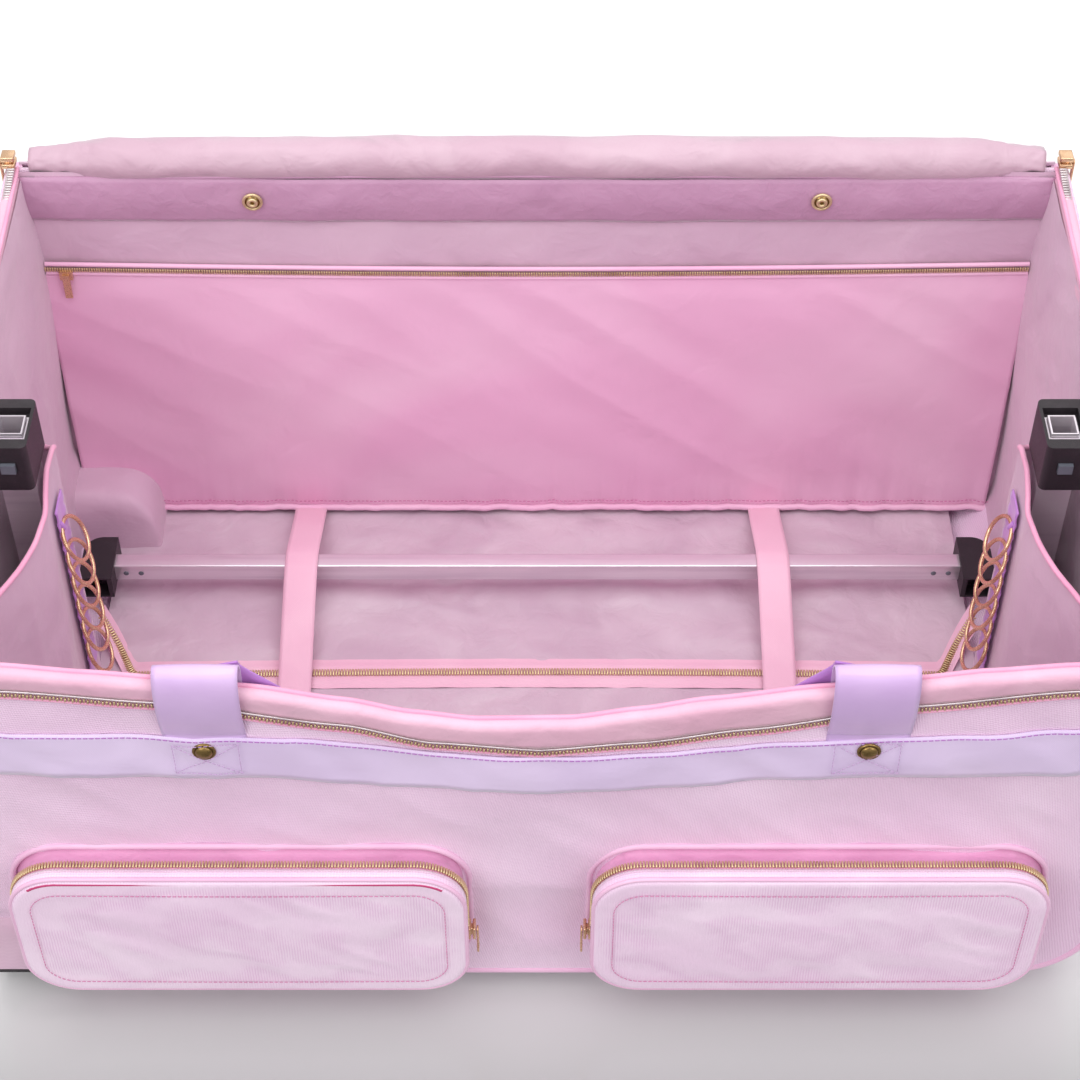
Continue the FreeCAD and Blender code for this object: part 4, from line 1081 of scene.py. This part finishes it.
BACK_ZIP = [(-342 + 684 * i / 120, 197.6, 270.5 - 4.5 * math.sin(i / 120 * math.pi))
            for i in range(121)]
for shift in (-3.9, 3.9):
    edge = [(x, y + 1.2, z + shift) for x, y, z in BACK_ZIP]
    placed(rope(f"back_zip_tape_{'low' if shift < 0 else 'top'}", edge, 1.6, rose))
placed(teeth("back_zip_teeth", BACK_ZIP, 1.7, (1.1, 3.4, 1.6), brass, (0, -1, 0)),
       nodes=["back_pocket_zip"])

snaps = []
for side in (-1, 1):
    for index, (reach, thick) in enumerate(((6.0, 1.1), (2.6, 1.3))):
        snaps.append(rope(f"snap_{side}_{index}",
                          circle(side * 192.5, 196.6 - index, 330, reach, 20), thick, brass,
                          closed=True))
    bm = bmesh.new()
    bmesh.ops.create_cone(bm, cap_ends=True, segments=32, radius1=5.6 * MM, radius2=5.6 * MM,
                          depth=1.6 * MM, matrix=Matrix.Translation(
                              Vector((side * 192.5, 197, 330)) * MM) @ Matrix.Rotation(
                              math.pi / 2, 4, "X"))
    snaps.append(finish_mesh(bm, f"snap_plate_{side}", antique))
placed(join("snap_rings", snaps), nodes=["snap_sockets"])


# ---- end pockets, ribbons and rings -------------------------------------------------------

MOUTH = [(-166, 264), (-60, 265), (-38, 268), (-12, 283), (8, 281), (30, 262), (62, 250)]


def end_pocket(side):
    def shape(u, v):
        y = -165 + 226 * u
        top = eased(MOUTH, y)
        z = 30 + (top - 30) * v
        depth = 41.0 * smooth(-175, -36, y) * (1 - smooth(10, 61, y))
        fold = 1.6 * ripple(0, y, z, 40, 3.3 + side) + 1.4 * crease(0, y * 1.6, z * 0.4, 34, 5.5)
        belly = 3.0 * math.sin(v * math.pi) * smooth(-165, -120, y) * (1 - smooth(-60, -30, y))
        hold = smooth(0, 20, y + 165) * (1 - smooth(-40, -22, y) * (1 - smooth(6, 22, y)))
        return side * (348.5 - depth - (0.8 * fold + belly) * hold), y, z
    return shape


for label, side in SIDES:
    pouch = cloth(f"end_pocket_{label}_cloth", end_pocket(side), 110, 70, (250, 235), lining,
                  (-side, 0, 0))
    placed(add_wall(pouch, 1.0), nodes=[f"end_pocket_{label}"])
    shape = end_pocket(side)
    hem = [shape(i / 80, 1.0) for i in range(81)]
    placed(rope(f"end_pocket_{label}_hem", hem, 1.8, pink_tape))

    def ribbon(u, v):
        z = 90 + 164 * v
        y = -12 + (u - 0.5) * 22
        ruffle = 1.0 * math.sin(v * 15 * math.pi) * (u - 0.5) * 2
        return side * (304.6 - 0.8 * abs(ruffle)), y - 2 * math.cos(v * 14) * 0.3, z
    strip = cloth(f"ring_ribbon_{label}", ribbon, 8, 90, (22, 164), ring_ribbon, (-side, 0, 0))
    placed(add_wall(strip, 1.0),
           nodes=["ring_strips"] if side < 0 else [])
    rings = []
    for index in range(6):
        level = 114 + 22 * index
        tilt = Matrix.Rotation(side * math.radians(115), 4, "Y")
        hoop = []
        for a in range(40):
            angle = a / 20 * math.pi
            point = tilt @ Vector((15 * math.cos(angle), 15 * math.sin(angle), 0))
            hoop.append((side * 297.6 + point.x, -16 + point.y, level + point.z))
        rings.append(rope(f"ring_{label}_{index}", hoop, 1.4, gold, closed=True))
        rings.append(rope(f"ring_tab_{label}_{index}",
                          [(side * 305.2, -18, level + 9), (side * 302.4, -19, level + 13),
                           (side * 304.8, -19, level + 17)], 1.8, ring_ribbon))
    placed(join(f"rings_{label}_set", rings), nodes=[f"rings_{label}"])


# ---- crossbar -----------------------------------------------------------------------------

bar = block("crossbar_profile", (-320, 111.5, 44.5), (320, 124.5, 59.5), 1.3, aluminium)
placed(bar, "crossbar", ["crossbar_tube"])
pins = []
for side in (-1, 1):
    for reach in (304, 293):
        pins.append(bead(f"pin_{side}_{reach}", (side * reach, 111.4, 52), (2.0, 0.9, 2.0), 20,
                         slate))
placed(join("crossbar_pins", pins), "crossbar", ["crossbar_rivets"])


# ---- floor zip and straps -----------------------------------------------------------------

FLOOR_ZIP = ([(-318, 74, 46), (-308, 62, 36), (-300, 48, 31.6)]
             + [(-292 + 584 * i / 100, 31 + 3 * math.sin(i / 100 * math.pi), 31.2)
                for i in range(101)]
             + [(300, 48, 31.6), (308, 62, 36), (318, 74, 46)])
FLOOR_ZIP = rounded(FLOOR_ZIP, 1)


def zip_tape(u, v):
    """The pink tape on both sides of the floor zip, slightly puckered."""
    x, y, z = line_at(FLOOR_ZIP, u)
    wide = (v - 0.5) * 2
    pucker = 0.8 * ripple(x, y, 0, 14, 6.3) * abs(wide)
    rise = 1.2 * math.exp(-((abs(wide) - 0.45) / 0.2) ** 2)
    return x, y + wide * 13.5, z - 1.5 + rise + pucker


tape_piece = cloth("floor_zip_tape", zip_tape, 240, 14, (640, 27), strap_cloth, (0, 0, 1))
placed(tape_piece)
placed(teeth("floor_zip_teeth", FLOOR_ZIP, 2.0, (1.25, 5.4, 1.8), brass, (0, -0.2, 1)),
       nodes=["floor_zip"])

STRAP = rounded([(203, 33), (165, 46), (127.5, 61.0), (118, 61.6), (108.5, 61.0),
                 (75, 51.5), (40, 41), (18, 34), (8, 32.6)], 2)


def strap_shape(side):
    def shape(u, v):
        y, z = line_at(STRAP, v)
        return side * STRAP_X + (u - 0.5) * 24, y, z + 0.4 * math.cos((u - 0.5) * math.pi)
    return shape


straps = []
for label, side in SIDES:
    piece = cloth(f"floor_strap_{label}", strap_shape(side), 8, 90, (24, 205), strap_cloth,
                  (0, 0, 1))
    straps.append(baked(add_wall(piece, 1.2)))
straps = join("floor_strap_pair", straps)
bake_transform(straps)
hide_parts("floor_straps")


# ---- lid: roll, panel and its zip ---------------------------------------------------------

def roll_shape(u, v):
    x = -341.5 + 683 * u
    a = 2 * math.pi * v
    end = smooth(0, 56, 341.5 - abs(x))
    r = 14.2 + 0.9 * ripple(x, math.cos(a) * 20, math.sin(a) * 20, 60, 2.2)
    r += (1 - end) * 2.6 * ripple(x * 1.6, math.cos(a) * 26, math.sin(a) * 26, 12, 5.5)
    r += 0.7 * crease(x + 40 * math.cos(a), 0, 30 * math.sin(a), 44, 3.3)
    r *= 0.62 + 0.38 * end
    bow = -2.4 * (x / 341) ** 2
    return x, HINGE_Y + r * math.cos(a), 354.4 + bow + 0.98 * r * math.sin(a)


roll = cloth("lid_roll_cloth", roll_shape, 240, 40, (683, 91), satin, joined=True)
placed(roll, nodes=["lid_roll"])
ACROSS = [-338 + 676 * i / 120 for i in range(121)]
placed(rope("roll_seam", [(x, 202.4, 347.5 - 2.4 * (x / 341) ** 2) for x in ACROSS], 1.4,
            band_dark))

LEAN = math.radians(-54)  # how far the open lid hangs below level


def lid_point(x, reach, lift):
    """A place on the lid, by its distance from the hinge and its height over the lid's middle."""
    y = reach * math.cos(LEAN) - lift * math.sin(LEAN)
    z = reach * math.sin(LEAN) + lift * math.cos(LEAN)
    return x, HINGE_Y + y, HINGE_Z + z


def lid_skin(face):
    def shape(u, v):
        x = -END + 2 + (2 * END - 4) * u
        reach = 18.5 + 403 * v
        edge = smooth(0, 24, END - abs(x)) * smooth(0, 24, reach - 18) * smooth(0, 24, 422 - reach)
        fold = 1.2 * ripple(x, reach, face, 64, 8.8) + 0.8 * crease(x, reach + x * 0.4, 0, 60, 1.2)
        return lid_point(x, reach, face * (3.0 + 0.5 * edge + 0.5 * edge * fold))
    return shape


outer_way = (0, -math.sin(LEAN), math.cos(LEAN))
lid_out = cloth("lid_lining", lid_skin(1), 120, 70, (707, 403), lining, outer_way)
lid_in = cloth("lid_cloth", lid_skin(-1), 120, 70, (707, 403), oxford,
               tuple(-c for c in outer_way))
placed(add_wall(lid_out, 1.5), "lid")
placed(add_wall(lid_in, 1.5), "lid", ["lid_panel"])
lid_edge = ([lid_point(-END + 1, 20 + 398 * i / 40, 0) for i in range(40)]
            + [lid_point(-END + 1 + (2 * END - 2) * i / 60, 420.5, 0) for i in range(61)]
            + [lid_point(END - 1, 420.5 - 398 * (i + 1) / 40, 0) for i in range(40)])
placed(rope("lid_piping", lid_edge, 3.2, piping_cloth), "lid")
zip_run = ([lid_point(-END + 1.2, 172 + 246 * i / 30, 7.4) for i in range(30)]
           + [lid_point(-END + 1.2 + (2 * END - 2.4) * i / 60, 420, 7.4) for i in range(61)]
           + [lid_point(END - 1.2, 420 - 246 * (i + 1) / 30, 7.4) for i in range(30)])
tape_run = [tuple(Vector(p) - Vector(outer_way) * 3.0) for p in zip_run]
placed(rope("lid_zip_tape", tape_run, 1.6, pink_tape), "lid")
placed(teeth("lid_teeth", zip_run, 2.1, (1.3, 1.8, 3.4), brass, outer_way), "lid",
       ["lid_zip"])


# ---- zip sliders and pulls ----------------------------------------------------------------

def slider(name, place, size, way):
    """A zip slider: two plates on a waist. They stand apart along x, or else along z."""
    a, b, c = (s / 2 for s in size)
    if way == "x":
        boxes = [((-a, -b, -c), (-a * 0.2, b, c), 0.8), ((a * 0.2, -b, -c), (a, b, c), 0.8),
                 ((-a * 0.6, -b * 0.5, -c * 0.6), (a * 0.6, b * 0.5, c * 0.6), 0.4)]
    else:
        boxes = [((-a, -b, c * 0.2), (a, b, c), 0.8), ((-a, -b, -c), (a, b, -c * 0.2), 0.8),
                 ((-a * 0.5, -b * 0.6, -c * 0.6), (a * 0.5, b * 0.6, c * 0.6), 0.4)]
    return [block(f"{name}_{i}", [p + q for p, q in zip(place, low)],
                  [p + q for p, q in zip(place, high)], round_by, gold)
            for i, (low, high, round_by) in enumerate(boxes)]


parts = slider("left_pocket_slider", (-40.5, -225, 89.5), (5, 9, 11), "x")
parts += slider("right_pocket_slider", (31.5, -225, 89.5), (5, 9, 11), "x")
parts += slider("left_main_slider", (-354, 206, 358.5), (9, 10, 9), "z")
parts += slider("right_main_slider", (354, 206, 358.5), (9, 10, 9), "z")
placed(join("slider_bodies", parts), nodes=["zip_sliders"])


def pull(name, node, body):
    """A flat pull with a hole at its foot, hanging from a small link."""
    low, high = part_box(node)
    low, high = [c / MM for c in low], [c / MM for c in high]
    middle_y = (low[1] + high[1]) / 2
    middle_x = (low[0] + high[0]) / 2
    plate = []
    for z, wide in ((high[2] - 1, 0.42), (high[2] - 6, 0.55), (low[2] + 9, 0.62), (low[2] + 4, 1.0),
                    (low[2] + 1, 0.8), (low[2], 0.3)):
        plate.append((z, wide * (high[1] - low[1]) / 2))
    parts = []
    for side in (-1, 1):
        parts.append(rope(f"{name}_edge_{side}", [(middle_x, middle_y + side * w, z) for z, w in
                                                 reversed(rounded(plate, 2))],
                          (high[0] - low[0]) / 2 * 0.95, gold))
    parts.append(block(f"{name}_plate", (middle_x - 0.5, middle_y - 1.6, low[2] + 7),
                       (middle_x + 0.5, middle_y + 1.6, high[2] - 1), 0.4, gold))
    ring = [(middle_x, middle_y + 2.0 * math.cos(a / 12 * math.pi),
             high[2] - 1.6 + 1.6 * math.sin(a / 12 * math.pi)) for a in range(24)]
    parts.append(rope(f"{name}_link", ring, 0.6, gold, closed=True))
    placed(join(name, parts), body, [node])


pull("left_pocket_tag", "front_pocket_pull_left", "left_pocket_pull")
pull("right_pocket_tag", "front_pocket_pull_right", "right_pocket_pull")
pull("left_main_tag", "main_zip_pull_left", "left_main_pull")
pull("right_main_tag", "main_zip_pull_right", "right_main_pull")


# ---- grab handle --------------------------------------------------------------------------

GRAB = rounded([(356.8, -85, 195), (357.4, -70, 195), (364, -56, 195), (376, -34, 195),
                (381, 0, 195), (376, 34, 195), (364, 56, 195), (357.4, 70, 195),
                (356.8, 85, 195)], 3)


def grab_shape(u, v):
    x, y, z = line_at(GRAB, u)
    return x, y, 180.5 + 29 * v


grab = cloth("grab_webbing", grab_shape, 80, 8, (200, 30), handle_satin, (1, 0, 0))
placed(add_wall(grab, 2.4), nodes=["end_grab_handle"])


# ---- floor, light and camera --------------------------------------------------------------

bm = bmesh.new()
bmesh.ops.create_grid(bm, x_segments=1, y_segments=1, size=6.0)
bmesh.ops.translate(bm, verts=bm.verts, vec=(0, 0, -0.0005))
ground_finish, tree, shader = blank("Glossy floor with painted shade")
place = wired(tree, "TexCoord")
split = wired(tree, "SeparateXYZ", {0: place.outputs["Object"]})
# Painted shadow and reflection: the floor is painted grey towards the front, darkest nearest the
# camera, for the bag's shadow and reflection there.
near = ranged(tree, split.outputs["Y"], -0.36, -0.1, 0.2, 0.93)
tone = wired(tree, "CombineXYZ", {0: near, 1: near, 2: near})
feed(tree, shader, {"Base Color": tone.outputs[0], "Roughness": 0.14})
ground = finish_mesh(bm, "ground", ground_finish, (0, 0, 1))

world = bpy.data.worlds.new("Studio")
bpy.context.scene.world = world
world.use_nodes = True
world.node_tree.nodes["Background"].inputs[0].default_value = (1.0, 0.985, 1.0, 1)
world.node_tree.nodes["Background"].inputs[1].default_value = 0.8


def softbox(name, place, aim, size, power):
    lamp = bpy.data.lights.new(name, "AREA")
    lamp.shape = "RECTANGLE"
    lamp.size, lamp.size_y = size
    lamp.energy = power
    held = bpy.data.objects.new(name, lamp)
    held.location = place
    held.rotation_euler = (Vector(aim) - Vector(place)).to_track_quat("-Z", "Y").to_euler()
    bpy.context.scene.collection.objects.link(held)


softbox("overhead", (0, -0.3, 2.2), (0, 0, 0.2), (2.4, 2.0), 30)
softbox("front_left", (-1.3, -1.7, 1.5), (0, 0, 0.25), (1.4, 0.5), 13)
softbox("front_right", (1.4, -1.6, 1.4), (0.1, 0, 0.25), (1.2, 0.5), 7)
softbox("behind", (0.4, 2.0, 1.6), (0, 0.1, 0.2), (2.4, 1.2), 6)

camera = bpy.data.objects.new("camera", bpy.data.cameras.new("camera"))
camera.data.lens = 75
camera.data.sensor_width = 36
camera.location = (0.002, -1.0163, 1.2762)
camera.rotation_euler = (math.radians(43.5), 0, 0)
bpy.context.scene.collection.objects.link(camera)
bpy.context.scene.camera = camera
bpy.context.scene.view_settings.view_transform = "Standard"
